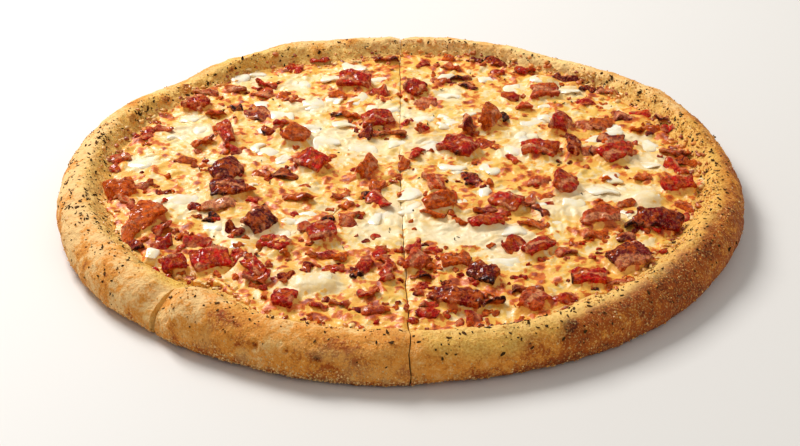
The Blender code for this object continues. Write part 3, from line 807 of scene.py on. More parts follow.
def make_crust(piece, crust, crumb):
    """The dough: a fine grid wrapped round the rim, closed by its floor, underside and cut faces."""
    first, last = slice_angles(piece)
    columns = int((last - first) * OUTER_RADIUS / CRUST_STEP)
    rows = rim_rows()
    pick_none()
    bpy.ops.mesh.primitive_grid_add(x_subdivisions=columns, y_subdivisions=len(rows) - 1, size=1)
    thing = bpy.context.object
    thing.name = "crust_" + piece.name
    flat = stored(thing, "co")
    column = np.rint((flat[:, 0] + 0.5) * columns).astype(int)
    row = np.rint((flat[:, 1] + 0.5) * (len(rows) - 1)).astype(int)
    angles = np.linspace(first, last, columns + 1)
    radius, height = np.stack([rim_point(angles, *row) for row in rows], -1)
    steps = np.hypot(np.diff(radius, axis=1), np.diff(height, axis=1))
    arc = np.concatenate((np.zeros((columns + 1, 1)), np.cumsum(steps, axis=1)), axis=1)
    length = arc[:, -1:]
    turn = angles[:, None] + 0 * arc
    # The relief's browning holds the blisters' toasting and the dimples' painted shade and painted lighter
    # lips
    relief, toast = crust_relief(turn, arc, length)
    slope_r, slope_z = np.gradient(radius, axis=1), np.gradient(height, axis=1)
    size = np.hypot(slope_r, slope_z)
    hold = smooth(0, 0.05, arc / length) * smooth(0, 0.04, 1 - arc / length)
    out_r, out_z = slope_z / size * relief * hold, -slope_r / size * relief * hold
    xy = spot(piece, turn, radius)
    share = height / RIM_HEIGHT
    drop = corner_drop(piece, xy[..., 0], xy[..., 1]) * share * smooth(0, 0.03, 1 - arc / length)
    xy = spot(piece, turn, radius + out_r - drop * outer_side(radius, turn))
    height = np.maximum(height + out_z - drop + lift(piece, xy[..., 0], xy[..., 1]) * share, 0)
    height[:, 0] = 0
    grid = stray(piece, np.concatenate((xy, height[..., None]), axis=-1).reshape(-1, 3))
    grid = grid.reshape(columns + 1, len(rows), 3)
    set_points(thing, grid[column, row])
    part = arc / length
    give(thing, "toast", crust_toast(turn, part, toast)[column, row])
    give(thing, "butter", crust_butter(turn, part, toast)[column, row])
    give(thing, "flour_and_painted_light", crust_flour_and_painted_light(turn, part)[column, row])
    give(thing, "season", crust_season(turn, part)[column, row])
    close_crust(thing, piece, column, row, columns, len(rows))
    thing.data.materials.append(crust)
    thing.data.materials.append(crumb)
    soft_shade(thing, 50)
    install(thing, "crust", "dough_" + piece.name)
    RIMS.append((piece, grid))


def outer_side(radius, angle):
    """1 on the outer side of the rim, 0 inside its crest."""
    return smooth(-4, 4, radius - (outer_radius(angle) - CREST_INSET))


def crust_toast(angle, part, spots):
    """How browned the crust is, by its place on the rim; darker towards the base, partly as painted shade,
    and with painted light and shade in its values round the rim.
    """
    mottle = 0.15 * rim_rough(angle, part, 26, 71, 2) + 0.12 * rim_rough(angle, part, 9, 75, 2)
    mottle = mottle + 0.07 * rim_rough(angle, part, 3, 81, 2)
    left = near(angle, 212, 34) * smooth(0.7, 0.5, part)
    mottle = mottle + left * 0.4 * smooth(0.0, 0.8, rim_rough(angle, part, 10, 83, 4))
    base = round_table(angle, TOAST_WITH_PAINTED_LIGHT) * (1 - 0.42 * smooth(0.5, 0.8, part))
    # Darker towards the base: partly real browning of the bottom edge and partly painted shade low on the rim
    base = base + 0.6 * smooth(0.3, 0.0, part) * (0.25 + round_table(angle, TOAST_WITH_PAINTED_LIGHT))
    # The spots add the blisters' browning and the dimples' painted shade and painted lighter lips
    return np.clip(np.minimum(base + mottle, 0.85) + spots, 0, 1)


def crust_butter(angle, part, spots):
    """The yellow buttery zone, which toasted spots and the dimples' painted shade break through."""
    start = round_table(angle, BUTTER_STARTS_WITH_PAINTED_LIGHT) + 0.08 * rim_rough(angle, part, 12, 91, 3)
    butter = 0.66 * smooth(start, start + 0.2, part) + 0.8 * near(angle, 227, 5) * smooth(0.45, 0.7, part)
    return np.clip(butter, 0, 1) * (1 - np.clip(spots * 1.6, 0, 1))


def crust_flour_and_painted_light(angle, part):
    """Pale specks at the bottom edge, and the paler stretches of the rim; the stretch round 58 degrees is
    painted light on the lit back right of the rim.
    """
    specks = smooth(0.35, 0.8, rim_rough(angle, part, 2.4, 95, 2))
    pale = smooth(0.1, 0.7, rim_rough(angle, part, 13, 97, 2)) * near(angle, 248, 20) * smooth(0.5, 0.4, part)
    # A paler stretch round 300 degrees, and painted light round 58 degrees on the lit back right of the rim
    light = 0.4 * near(angle, 300, 26) * smooth(0.5, 0.68, part) + 0.45 * near(angle, 58, 22)
    return 0.45 * specks * smooth(0.3, 0.05, part) * near(angle, 255, 35) + 0.25 * pale + light


def crust_season(angle, part):
    """Fine dried seasoning beside the topping, thickest at the left."""
    left = np.maximum(near(angle, 165, 55), 0.5 * near(angle, 350, 60))
    clump = smooth(-0.6, 0.6, rim_rough(angle, part, 9, 99, 3))
    return 0.5 * left * clump * smooth(0.62, 0.92, part) * (1 - near(angle, 229, 5))


def close_crust(thing, piece, column, row, columns, rows):
    """Adds the floor, the underside and the two cut faces."""
    order = np.empty((columns + 1, rows), int)
    order[column, row] = np.arange(len(column))
    x, y = tip_of(piece) * MM
    with edited(thing) as bm:
        foot = [bm.verts[i] for i in order[:, -1]]
        base = [bm.verts[i] for i in order[:, 0]]
        sides = [[bm.verts[i] for i in order[side]] for side in (0, columns)]
        low = bm.verts.new((x, y, 0))
        high = bm.verts.new((x, y, DOUGH_FLOOR * MM))
        floor = [bm.verts.new((vert.co.x, vert.co.y, DOUGH_FLOOR * MM)) for vert in foot]
        for corners in zip(foot, foot[1:], floor[1:], floor):
            bm.faces.new(corners)
        bm.faces.new([high] + floor)
        bm.faces.new([low] + base)
        for side, end in zip(sides, (0, -1)):
            bm.faces.new([low] + side + [floor[end], high]).material_index = 1
        bmesh.ops.recalc_face_normals(bm, faces=bm.faces)


# Cheese

# The cheese's slow rise and fall: height, size and layer of the noise, as the solids have it
SWELLS = ((1.3, 24, 3.0), (0.8, 10, 7.0))
# How many melted shreds and toasted blisters it has, and how far from the middle they lie
SHREDS, SMALL_SHREDS, CHEESE_BLISTERS = 1500, 2600, 1050
SHRED_REACH, BLISTER_REACH = 160, 156


def swell(x, y):
    """The slow rise and fall of the cheese at each place."""
    return np.array([
        sum(high * noise.noise(Vector((px / size, py / size, layer))) for high, size, layer in SWELLS)
        for px, py in zip(x, y)
    ])


def in_disc(draw, radius):
    """An evenly random place within this radius."""
    angle, reach = draw.uniform(0, 2 * math.pi), radius * math.sqrt(draw.random())
    return reach * math.cos(angle), reach * math.sin(angle)


def undersides(kind):
    """For the large toppings of one kind, the height of their undersides over the field's grid."""
    under, cover = new_field(), new_field()
    for name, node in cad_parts.items():
        if not name.startswith(kind):
            continue
        tree = BVHTree.FromPolygons(
            [v.co / MM for v in node.data.vertices], [p.vertices for p in node.data.polygons]
        )
        low, high = (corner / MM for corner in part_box(name))
        spans = [
            range(int((a + FIELD_REACH) / FIELD_STEP), int((b + FIELD_REACH) / FIELD_STEP) + 2)
            for a, b in ((low.x, high.x), (low.y, high.y))
        ]
        for i in spans[0]:
            for j in spans[1]:
                hit = tree.ray_cast(Vector((FIELD_LINE[i], FIELD_LINE[j], 0)), Vector((0, 0, 1)))[0]
                if hit:
                    under[i, j], cover[i, j] = hit.z, 1
    return under, cover


def topping_fields():
    """Where bacon, toasting and pale cheese lie."""
    meat, pale, toast = new_field(), new_field(), new_field()
    for x, y, length, width, heading, _ in BACON_BITS:
        splat(meat, x, y, length + 3, width + 3, heading, 1.0)
    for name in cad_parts:
        if name.startswith("bacon"):
            low, high = (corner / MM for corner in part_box(name))
            middle, size = (low + high) / 2, high - low
            splat(meat, middle.x, middle.y, size.x + 2, size.y + 2, 0, 1.0)
    for x, y, radius in TOASTED_PLACES:
        splat(toast, x, y, radius * 2, radius * 1.6, x * 7 % 180, 0.4)
    for x, y, radius in PALE_PLACES:
        splat(pale, x, y, radius * 2.2, radius * 2, 0, 0.9)
    return np.minimum(meat, 1), np.minimum(pale, 1), toast


def melted_fields(draw, pale, toast):
    """The melted shreds of cheese, and the toasted blisters on them."""
    shreds, blisters, browned_tops = new_field(), new_field(), new_field()
    for _ in range(SHREDS):
        x, y = in_disc(draw, SHRED_REACH)
        heading = 70 * math.sin(x / 31 + y / 47) + draw.uniform(-55, 55)
        length, width = draw.uniform(8, 17), draw.uniform(2.6, 4.6)
        splat(shreds, x, y, length, width, heading, draw.uniform(0.4, 1.1), True)
    for _ in range(SMALL_SHREDS):
        x, y = in_disc(draw, SHRED_REACH)
        length, width, heading = draw.uniform(3, 7), draw.uniform(1.4, 2.6), draw.uniform(0, 180)
        splat(shreds, x, y, length, width, heading, draw.uniform(0.35, 1.0), True)
    for _ in range(CHEESE_BLISTERS):
        x, y = in_disc(draw, BLISTER_REACH)
        white = field_at(pale, x, y)
        if draw.random() < 0.75 * white:
            continue
        size = draw.uniform(2.2, 6.5) * (1 - 0.4 * white)
        height = draw.uniform(0.4, 1.1) * (0.6 + 0.5 * field_at(toast, x, y))
        width, heading = size * draw.uniform(0.6, 0.9), draw.uniform(0, 180)
        splat(blisters, x, y, size, width, heading, height, True)
        splat(browned_tops, x, y, size * 0.95, width * 0.9, heading, draw.uniform(0.2, 0.65), True)
    return shreds, blisters, browned_tops


MEAT, PALE, TOAST = topping_fields()
SHREDDED, BLISTERED, BROWNED_TOPS = melted_fields(random.Random(17), PALE, TOAST)
NEAR_MEAT = blurred(MEAT, 8)
CLINGING = 1.3 + 0.6 * rough(FIELD_X, FIELD_Y, 4.5, 155, 2)
# How the cheese comes up round the large toppings, more gently round the onion
RISE, RISE_SHARE = new_field(), new_field()
for kind, softness, more in (("bacon", 8, 0.0), ("onion", 26, 0.8)):
    under, cover = undersides(kind)
    clinging = np.clip(under + CLINGING + more - CHEESE_LEVEL, -0.5, 4.0)
    RISE += blurred(np.where(cover > 0, clinging, 0), softness)
    RISE_SHARE += blurred(cover, softness)
RISE_SHARE = np.minimum(RISE_SHARE, 1)


def cheese_top(x, y):
    """Height of the cheese's fine surface."""
    height = CHEESE_LEVEL - 0.5 + swell(x, y) + 1.25 * sample(SHREDDED, x, y)
    height = height + sample(BLISTERED, x, y) + 0.3 * rough(x, y, 6, 113, 3)
    share = sample(RISE_SHARE, x, y)
    height = height * (1 - share) + CHEESE_LEVEL * share + sample(RISE, x, y)
    return height + 0.6 * sample(MEAT, x, y) * (1 - share)


def make_cheese(piece, material):
    """The cheese: a fine flat grid trimmed to the slice, raised, and closed underneath."""
    first, last = slice_angles(piece)
    arc = np.linspace(first, last, 60)
    reach = foot_radius(arc) + 4
    corners = np.stack((np.append(reach * np.cos(arc), 0), np.append(reach * np.sin(arc), 0)), -1)
    low, high = corners.min(0) - 1, corners.max(0) + 1
    counts = np.ceil((high - low) / CHEESE_STEP).astype(int)
    middle = (low + high) / 2
    pick_none()
    bpy.ops.mesh.primitive_grid_add(
        x_subdivisions=int(counts[0]), y_subdivisions=int(counts[1]), size=1,
        location=(middle[0] * MM, middle[1] * MM, 0),
    )
    thing = bpy.context.object
    thing.name = "cheese_" + piece.name + "_look"
    bpy.ops.object.transform_apply(location=True, rotation=False, scale=False)
    points = points_of(thing)
    points[:, :2] = (points[:, :2] - middle) / np.ptp(points[:, :2], axis=0) * (high - low) + middle
    set_points(thing, points)
    tip = tip_of(piece)
    bpy.ops.object.mode_set(mode="EDIT")
    for angle, side in ((first, 1), (last, -1)):
        bpy.ops.mesh.select_all(action="SELECT")
        bpy.ops.mesh.bisect(
            plane_co=(tip[0] * MM, tip[1] * MM, 0),
            plane_no=(-math.sin(angle) * side, math.cos(angle) * side, 0), clear_inner=True, threshold=1e-6,
        )
    bpy.ops.object.mode_set(mode="OBJECT")
    trim_outside(thing)
    points = points_of(thing)
    x, y = points[:, 0], points[:, 1]
    angle, radius = np.arctan2(y, x), np.hypot(x, y)
    foot = foot_radius(angle)
    top = cheese_top(x, y)
    over = slope_height(angle, np.maximum(radius, foot)) + 0.5
    top = np.where(radius > foot - 1, np.maximum(top, over), top)
    edge = cheese_reach(angle) - radius
    top = top - 1.6 * np.exp(-np.maximum(edge, 0) / 0.8)
    side = np.minimum(*cut_distances(piece, x, y))
    front = bell(x, 12) * smooth(20, -20, y)
    top = top + lift(piece, x, y) - (0.35 + 0.75 * front) * bell(np.maximum(side, 0), 1.1)
    points[:, 2] = np.maximum(top, CHEESE_BASE + 1.0)
    set_points(thing, stray(piece, points))
    give(thing, "toast", cheese_toast(x, y, radius, foot))
    give(thing, "pale", np.clip(sample(PALE, x, y) * (0.8 + 0.3 * rough(x, y, 5, 121, 2)), 0, 1))
    oil = sample(NEAR_MEAT, x, y) * 0.6 + 0.15 * smooth(foot - 9, foot, radius)
    give(thing, "oil", np.clip(oil * (0.85 + 0.4 * rough(x, y, 4, 125, 2)), 0, 1))
    close_cheese(thing)
    thing.data.materials.append(material)
    soft_shade(thing, 70)
    install(thing, "cheese", "cheese_" + piece.name)


def cheese_reach(angle):
    """The cheese's uneven outer edge, a little way up the rim's slope."""
    around = angle * OUTER_RADIUS
    return foot_radius(angle) + np.maximum(1.6 + 3.4 * rough(around, 0 * around, 9, 131, 4), 0.7)


def trim_outside(thing):
    """Takes away what reaches past the cheese's outer edge."""
    points = points_of(thing)
    reach = cheese_reach(np.arctan2(points[:, 1], points[:, 0]))
    outside = np.hypot(points[:, 0], points[:, 1]) > reach
    with edited(thing) as bm:
        bmesh.ops.delete(bm, geom=[bm.verts[i] for i in np.nonzero(outside)[0]], context="VERTS")
        bmesh.ops.delete(bm, geom=[vert for vert in bm.verts if not vert.link_faces], context="VERTS")


def cheese_toast(x, y, radius, foot):
    """Orange and brown toasting on the highest places, more of it at the rim and round the bacon."""
    broad = rough(x, y, 17, 141, 3)
    spots = rough(x + 3 * rough(x, y, 7, 143, 2), y, 5, 145, 3)
    amount = 0.1 + 0.2 * broad + 0.28 * spots + sample(TOAST, x, y) + 0.1 * sample(SHREDDED, x, y)
    amount = amount + 0.2 * smooth(foot - 14, foot - 2, radius) + 0.16 * sample(NEAR_MEAT, x, y)
    amount = np.minimum(amount - 0.55 * sample(PALE, x, y), 0.29)
    small = 0.3 * smooth(0.15, 0.75, rough(x, y, 3.4, 147, 2)) * smooth(0.0, 0.25, amount)
    return np.clip(amount + small + sample(BROWNED_TOPS, x, y), 0, 0.9)


def close_cheese(thing):
    """Adds the sides, down to the sauce, and the underside."""
    with edited(thing) as bm:
        rim = [edge for edge in bm.edges if edge.is_boundary]
        lowered = bmesh.ops.extrude_edge_only(bm, edges=rim)["geom"]
        for vert in (item for item in lowered if isinstance(item, bmesh.types.BMVert)):
            vert.co.z = CHEESE_BASE * MM
        bmesh.ops.holes_fill(bm, edges=[edge for edge in bm.edges if edge.is_boundary], sides=0)
        bmesh.ops.recalc_face_normals(bm, faces=bm.faces)


# Bacon and onion bits

# Colours of the lean, and how much fat and burnt edge there is, by kind
LEAN = {
    "r": linear(200, 24, 10), "d": linear(128, 6, 6), "p": linear(212, 84, 40), "o": linear(220, 96, 12),
    "k": linear(60, 8, 6), "u": linear(132, 26, 24), "f": linear(238, 176, 120), "w": linear(104, 12, 14),
}
FAT_SHARE = {"r": 0.14, "d": 0.05, "p": 0.36, "o": 0.1, "k": 0.03, "u": 0.32, "f": 0.85, "w": 0.1}
CHAR_SHARE = {"r": 0.2, "d": 0.4, "p": 0.12, "o": 0.15, "k": 0.9, "u": 0.35, "f": 0.12, "w": 0.35}
# Stations along a ribbon and points round it: for bits, crumbs and border crumbs
BIT, CRUMB, BORDER_CRUMB = (13, 14), (9, 10), (7, 8)
# Random turns and random seeds are drawn below these
ANY_TURN, SEEDS = 6.3, 900


def wobble(draw, places, size):
    """A smooth random curve along a piece."""
    return sum(
        size / k * math.sin(draw.uniform(0, ANY_TURN)) * np.cos(k * places * 2.2 + draw.uniform(0, ANY_TURN))
        for k in (1, 2, 3)
    )


def ribbon(length, width, thickness, arch, cup, twist, ruffle, draw, fineness=BIT):
    """A closed flat ribbon with rounded edges: points, and how far along and across each lies."""
    stations, around = fineness
    u = np.sin(np.linspace(-0.5, 0.5, stations) * math.pi)
    turn = np.linspace(0, 2 * math.pi, around, endpoint=False)
    ends = (1 - np.abs(u * 0.985) ** 5) ** 0.25
    half = width / 2 * ends * (1 + wobble(draw, u, 0.28))
    across = np.sign(np.cos(turn)) * np.abs(np.cos(turn)) ** 0.7
    up = np.sign(np.sin(turn)) * np.abs(np.sin(turn)) ** 0.7
    y = half[:, None] * across + (width * wobble(draw, u, 0.14))[:, None]
    z = thickness / 2 * (ends * (1 + wobble(draw, u, 0.25)))[:, None] * up
    x = np.repeat((u * length / 2)[:, None], around, 1) + wobble(draw, y / width, 0.06 * length)
    phase = draw.uniform(0, ANY_TURN)
    z = z + ruffle * np.sin(u[:, None] * draw.uniform(3, 6) + phase + y / width * draw.uniform(-2, 2))
    z = z - cup * (y / width * 2) ** 2 - arch * (u[:, None] ** 2)
    tilt = twist * u[:, None]
    y, z = y * np.cos(tilt) - z * np.sin(tilt), y * np.sin(tilt) + z * np.cos(tilt)
    points = np.stack((x, y, z), -1).reshape(-1, 3)
    points = np.concatenate((points, [points[:around].mean(0), points[-around:].mean(0)]))
    place_along = np.append(np.repeat(u, around), (-1, 1))
    place_across = np.append(np.tile(across, stations), (0, 0))
    return points, place_along, place_across


def crumpled(points, size, amount, seed):
    """Pushes the points of a piece about, like a crinkled crispy surface."""
    x, y, z = points.T
    plans = ((x + z, y), (y + z, x), (x - z, y + z))
    moves = [rough(*plan, size, seed + number, 2) for number, plan in enumerate(plans)]
    return points + amount * np.stack(moves, -1)


def ribbon_faces(fineness=BIT):
    stations, around = fineness
    faces = []
    for i in range(stations - 1):
        for j in range(around):
            k = (j + 1) % around
            faces.append((i * around + j, (i + 1) * around + j, (i + 1) * around + k, i * around + k))
    first, last = stations * around, stations * around + 1
    for j in range(around):
        k = (j + 1) % around
        faces.append((first, j, k))
        faces.append((last, (stations - 1) * around + k, (stations - 1) * around + j))
    return faces


class Pile:
    """Many small closed pieces gathered into one mesh."""

    def __init__(self):
        self.points, self.faces, self.values, self.count = [], [], {}, 0

    def add(self, points, faces, **values):
        self.points.append(points)
        self.faces += [[self.count + i for i in face] for face in faces]
        self.count += len(points)
        for name, value in values.items():
            value = np.asarray(value, float)
            if value.shape in ((), (3,)):
                value = np.broadcast_to(value, (len(points), *value.shape))
            self.values.setdefault(name, []).append(value)

    def make(self, name, material, slot):
        thing = new_mesh(name, np.concatenate(self.points), self.faces, material)
        for label, value in self.values.items():
            give(thing, label, np.concatenate(value))
        soft_shade(thing, 70)
        install(thing, slot)


def turned(points, heading, roll):
    """Rolls a piece over its length and turns it to its heading."""
    c, s = math.cos(roll), math.sin(roll)
    x, y, z = points[:, 0], points[:, 1] * c - points[:, 2] * s, points[:, 1] * s + points[:, 2] * c
    c, s = math.cos(heading), math.sin(heading)
    return np.stack((x * c - y * s, x * s + y * c, z), -1)


def surface_level(x, y):
    """Height of whatever a small piece lies on, cheese or rim."""
    angle, radius = math.atan2(y, x), math.hypot(x, y)
    foot = float(foot_radius(angle))
    if radius > foot:
        return float(slope_height(angle, radius))
    home = max(SLICES, key=lambda piece: min(cut_distances(piece, x, y)))
    return float(cheese_top(np.array([x]), np.array([y]))[0]) + float(lift(home, x, y))


def bacon_colours(kind, along, across, points, draw):
    """The lean colour, the fat streaks and the burnt edges of one bacon piece."""
    lean = np.array(LEAN[kind]) * draw.uniform(0.8, 1.2)
    x, y, z = points.T
    shade = 1 + 0.25 * rough(x + z, y, 4, draw.randrange(SEEDS), 2)
    meat = np.clip(lean * shade[:, None], 0, 1)
    shift, beat = draw.uniform(-1, 1), draw.uniform(1.2, 2.4)
    streak = np.sin(across * beat * 2 + shift * 3 + 0.8 * np.sin(along * 3 + shift))
    share = FAT_SHARE[kind]
    fat = smooth(1 - 2 * share, 1.2 - 2 * share, streak + 0.3 * rough(x, y, 3, 7, 2))
    edge = np.maximum(np.abs(across) ** 3, np.abs(along) ** 6)
    burn = edge * CHAR_SHARE[kind] * 1.5 + 0.5 * rough(x, y, 5, draw.randrange(SEEDS), 2)
    char = smooth(0.55, 1.1, burn + CHAR_SHARE[kind] * 0.5)
    return meat, fat * (1 - char), char


def make_bacon_bits(material, draw):
    pile = Pile()
    faces = ribbon_faces()
    for x, y, length, width, heading, kind in BACON_BITS:
        points, along, across = ribbon(
            length, 0.94 * width, draw.uniform(1.6, 2.6), draw.uniform(0, 0.14) * length,
            draw.uniform(-0.5, 1.2), draw.uniform(-0.7, 0.7), draw.uniform(0.2, 0.9), draw,
        )
        points = crumpled(points, 3.4, 0.5, draw.randrange(SEEDS))
        meat, fat, char = bacon_colours(kind, along, across, points, draw)
        points = turned(points, math.radians(heading + draw.uniform(-12, 12)), draw.uniform(-0.6, 0.6))
        points += (x, y, surface_level(x, y) + 0.05 + 0.05 * length)
        pile.add(points, faces, meat=meat, fat=fat, char=char)
    pile.make("bacon_bits", material, "bacon")


CRUMBS, CRUMB_REACH = 560, 152
# Kinds of crumbs, each as often as it stands here
CRUMB_KINDS = "rrooodp"


def make_bacon_crumbs(material, draw):
    """Small crumbs of bacon, gathered round the larger pieces and thickest towards the front."""
    pile = Pile()
    faces = ribbon_faces(CRUMB)
    wanted = CRUMBS
    while wanted:
        x, y = in_disc(draw, CRUMB_REACH)
        thick = 0.08 + 1.1 * field_at(NEAR_MEAT, x, y) + 0.6 * float(smooth(-20, -120, y))
        if draw.random() > thick * (1 - 0.85 * field_at(PALE, x, y)):
            continue
        size = draw.uniform(2.2, 5.6)
        points, along, across = ribbon(
            size, size * draw.uniform(0.5, 0.85), draw.uniform(1.2, 2.2), draw.uniform(0, 0.12) * size,
            draw.uniform(-0.3, 0.6), draw.uniform(-0.6, 0.6), draw.uniform(0.1, 0.4), draw, CRUMB,
        )
        points = crumpled(points, 2.2, 0.3, draw.randrange(SEEDS))
        meat, fat, char = bacon_colours(draw.choice(CRUMB_KINDS), along, across, points, draw)
        points = turned(points, draw.uniform(0, ANY_TURN), draw.uniform(-0.6, 0.6))
        points += (x, y, surface_level(x, y) + 0.05)
        pile.add(points, faces, meat=meat, fat=fat, char=char)
        wanted -= 1
    pile.make("bacon_crumbs", material, "bacon")


# Places tried for further small onion bits among the listed ones
MORE_ONIONS = 46


def make_onion_bits(material, draw):
    pile = Pile()
    faces = ribbon_faces()
    places = list(ONION_BITS)
    for _ in range(MORE_ONIONS):
        x, y = draw.uniform(-110, 120), draw.uniform(-60, 130)
        if math.hypot(x, y) < 145 and field_at(RISE_SHARE, x, y) < 0.15:
            places.append((x, y, draw.uniform(8, 14), draw.uniform(5, 9), draw.uniform(0, 180)))
    for x, y, length, width, heading in places:
        points, along, across = ribbon(
            length, width, draw.uniform(1.3, 1.9), draw.uniform(0.02, 0.08) * length,
            draw.uniform(0.1, 0.9), draw.uniform(-0.25, 0.25), draw.uniform(0.0, 0.3), draw,
        )
        points = crumpled(points, 5.5, 0.45, draw.randrange(SEEDS))
        edge = 0.8 * np.maximum(np.abs(across) ** 4, np.abs(along) ** 8)
        char = smooth(0.6, 1.3, edge + 0.35 * rough(*points.T[:2], 6, draw.randrange(SEEDS), 2))
        points = turned(points, math.radians(heading), draw.uniform(-0.3, 0.3))
        points += (x, y, surface_level(x, y) - 0.15)
        pile.add(points, faces, char=char * 0.5)
    pile.make("onion_bits", material, "onion")


# Large toppings, from the solids

MERGE_DISTANCE = 0.02
# How often the onion is softened
ONION_SOFTNESS = 42
# Kinds of the large bacon pieces that aren't plain red, by number
NODE_KINDS = {
    5: "w", 6: "d", 11: "p", 13: "d", 14: "d", 15: "p", 16: "o", 20: "p", 22: "u", 25: "p", 28: "o",
    32: "u", 33: "o", 35: "o", 27: "d", 39: "p", 41: "d", 21: "d", 2: "o", 1: "o", 12: "o",
}


def fine_copy(name, softness):
    """A solid's mesh, merged, divided and rounded, and softened this many times."""
    thing = bpy.data.objects.new(name + "_look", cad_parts[name].data.copy())
    bpy.context.scene.collection.objects.link(thing)
    thing.data.materials.clear()
    for layer in list(thing.data.attributes):
        if not layer.is_required and not layer.is_internal:
            thing.data.attributes.remove(layer)
    pick(thing)
    bpy.ops.object.mode_set(mode="EDIT")
    bpy.ops.mesh.select_all(action="SELECT")
    bpy.ops.mesh.remove_doubles(threshold=MERGE_DISTANCE * MM)
    bpy.ops.mesh.tris_convert_to_quads()
    bpy.ops.mesh.subdivide(number_cuts=2)
    bpy.ops.object.mode_set(mode="OBJECT")
    if softness:
        softer = thing.modifiers.new("Softer", "SMOOTH")
        softer.iterations = softness
        bpy.ops.object.modifier_apply(modifier=softer.name)
    finer = thing.modifiers.new("Rounder", "SUBSURF")
    finer.levels = finer.render_levels = 2
    bpy.ops.object.modifier_apply(modifier=finer.name)
    return thing


def make_large_topping(name, bacon, onion, draw):
    """A fine copy of the solid, made uneven and coloured."""
    is_bacon = name.startswith("bacon")
    thing = fine_copy(name, 0 if is_bacon else ONION_SOFTNESS)
    points = points_of(thing)
    flat = points[:, :2] - points.mean(0)[:2]
    local = flat @ np.linalg.eigh(flat.T @ flat)[1][:, ::-1]
    along, across = (local / np.abs(local).max(0)).T
    seed = draw.randrange(SEEDS)
    normals = stored(thing, "normal")
    plan_x, plan_y = points[:, 0] + points[:, 2], points[:, 1] - points[:, 2]
    uneven = (0.35 if is_bacon else 0.6) * rough(plan_x, plan_y, 5, seed, 3)
    if is_bacon:
        uneven += 0.35 * creased(plan_x, plan_y, 4, seed + 3) + 0.2 * creased(plan_x, plan_y, 1.9, seed + 5)
        edge = np.maximum(across ** 2, along ** 4)
        points[:, 2] += 0.9 * edge * rough(*local.T, 4.5, seed + 7, 2)
        points = crumpled(points, 4.5, 0.35, seed + 11)
    points = points + normals * uneven[:, None]
    set_points(thing, points)
    if is_bacon:
        kind = NODE_KINDS.get(int(name[-2:]), "r")
        for label, values in zip(("meat", "fat", "char"), bacon_colours(kind, along, across, points, draw)):
            give(thing, label, values)
    else:
        edge = np.maximum(np.abs(across) ** 4, np.abs(along) ** 6)
        give(thing, "char", 0.4 * smooth(0.5, 1.1, edge + 0.3 * rough(*points.T[:2], 6, seed, 2)))
    thing.data.materials.append(bacon if is_bacon else onion)
    soft_shade(thing, 80)
    install(thing, "bacon" if is_bacon else "onion", name)


# Herbs and grains on the crust

def flake(draw, length, width):
    """A thin curled flake."""
    u = np.array((-1, -0.4, 0.4, 1))
    half = np.array((0.35, 1.0, 0.8, 0.25)) * width / 2
    bend = draw.uniform(-0.4, 0.4) * length
    points = []
    for level in (0.0, 0.25):
        for side in (-1, 1):
            for a, b in zip(u, half):
                points.append((a * length / 2, side * b, level + bend * (a * a) + 0.1 * side))
    faces = []
    for i in range(3):
        faces += [(i, i + 1, i + 5, i + 4), (i + 8, i + 12, i + 13, i + 9)]
        faces += [(i, i + 8, i + 9, i + 1), (i + 4, i + 5, i + 13, i + 12)]
    faces += [(0, 4, 12, 8), (3, 11, 15, 7)]
    return np.array(points), faces


def grain(draw, size):
    """A small eight-sided lump."""
    points = np.array(((1, 0, 0), (0, 1, 0), (-1, 0, 0), (0, -1, 0), (0, 0, 1), (0, 0, -1)), float)
    points *= size / 2 * np.array([[draw.uniform(0.7, 1.2)] for _ in range(6)])
    faces = [(0, 1, 4), (1, 2, 4), (2, 3, 4), (3, 0, 4), (1, 0, 5), (2, 1, 5), (3, 2, 5), (0, 3, 5)]
    return points, faces


def rim_surface(angle, part):
    """A point on the finished crust and the way it faces; part 0 is the base and 1 the foot."""
    for piece, grid in RIMS:
        first, last = slice_angles(piece)
        across = (angle - first) / (last - first) * (grid.shape[0] - 1)
        if 1 < across < grid.shape[0] - 2:
            i, j = int(across), min(max(round(part * (grid.shape[1] - 1)), 1), grid.shape[1] - 2)
            facing = np.cross(grid[i + 1, j] - grid[i - 1, j], grid[i, j + 1] - grid[i, j - 1])
            return Vector(grid[i, j]), Vector(facing).normalized()
    return None


def lay(points, where, facing, spin, sink):
    """Lays a small piece on a surface, turned about the way it faces."""
    turn = facing.to_track_quat("Z", "Y").to_matrix()
    return turned(points, spin, 0.0) @ np.array(turn).T + np.array(where - facing * sink)


# How many herb flakes lie on the rim and on the cheese, and how many grains and crumbs at the border
RIM_HERBS, CHEESE_HERBS, GRAINS, BORDER_CRUMBS = 1300, 90, 4800, 620
CHEESE_HERBS_REACH = 150
# How thick the herbs lie round the rim, at the listed angles, on its crest and lower down outside
HERBS_ON_TOP = (
    1.0, 0.9, 0.35, 0.4, 0.6, 0.7, 0.9, 1.1, 0.95, 0.6, 0.45, 0.5, 0.6, 0.75, 0.6, 0.75, 1.0, 1.0
)
HERBS_OUTSIDE = (
    0.25, 0.3, 0.3, 0.35, 0.45, 0.6, 0.7, 0.85, 0.6, 0.2, 0.08, 0.12, 0.3, 0.3, 0.12, 0.15, 0.22, 0.25
)


def herb_density(angle, part):
    """How thick the herbs lie, by place on the rim."""
    top, outside = round_table(angle, HERBS_ON_TOP), round_table(angle, HERBS_OUTSIDE)
    return float(bell(part - 0.78, 0.17) * top + bell(part - 0.48, 0.17) * outside)


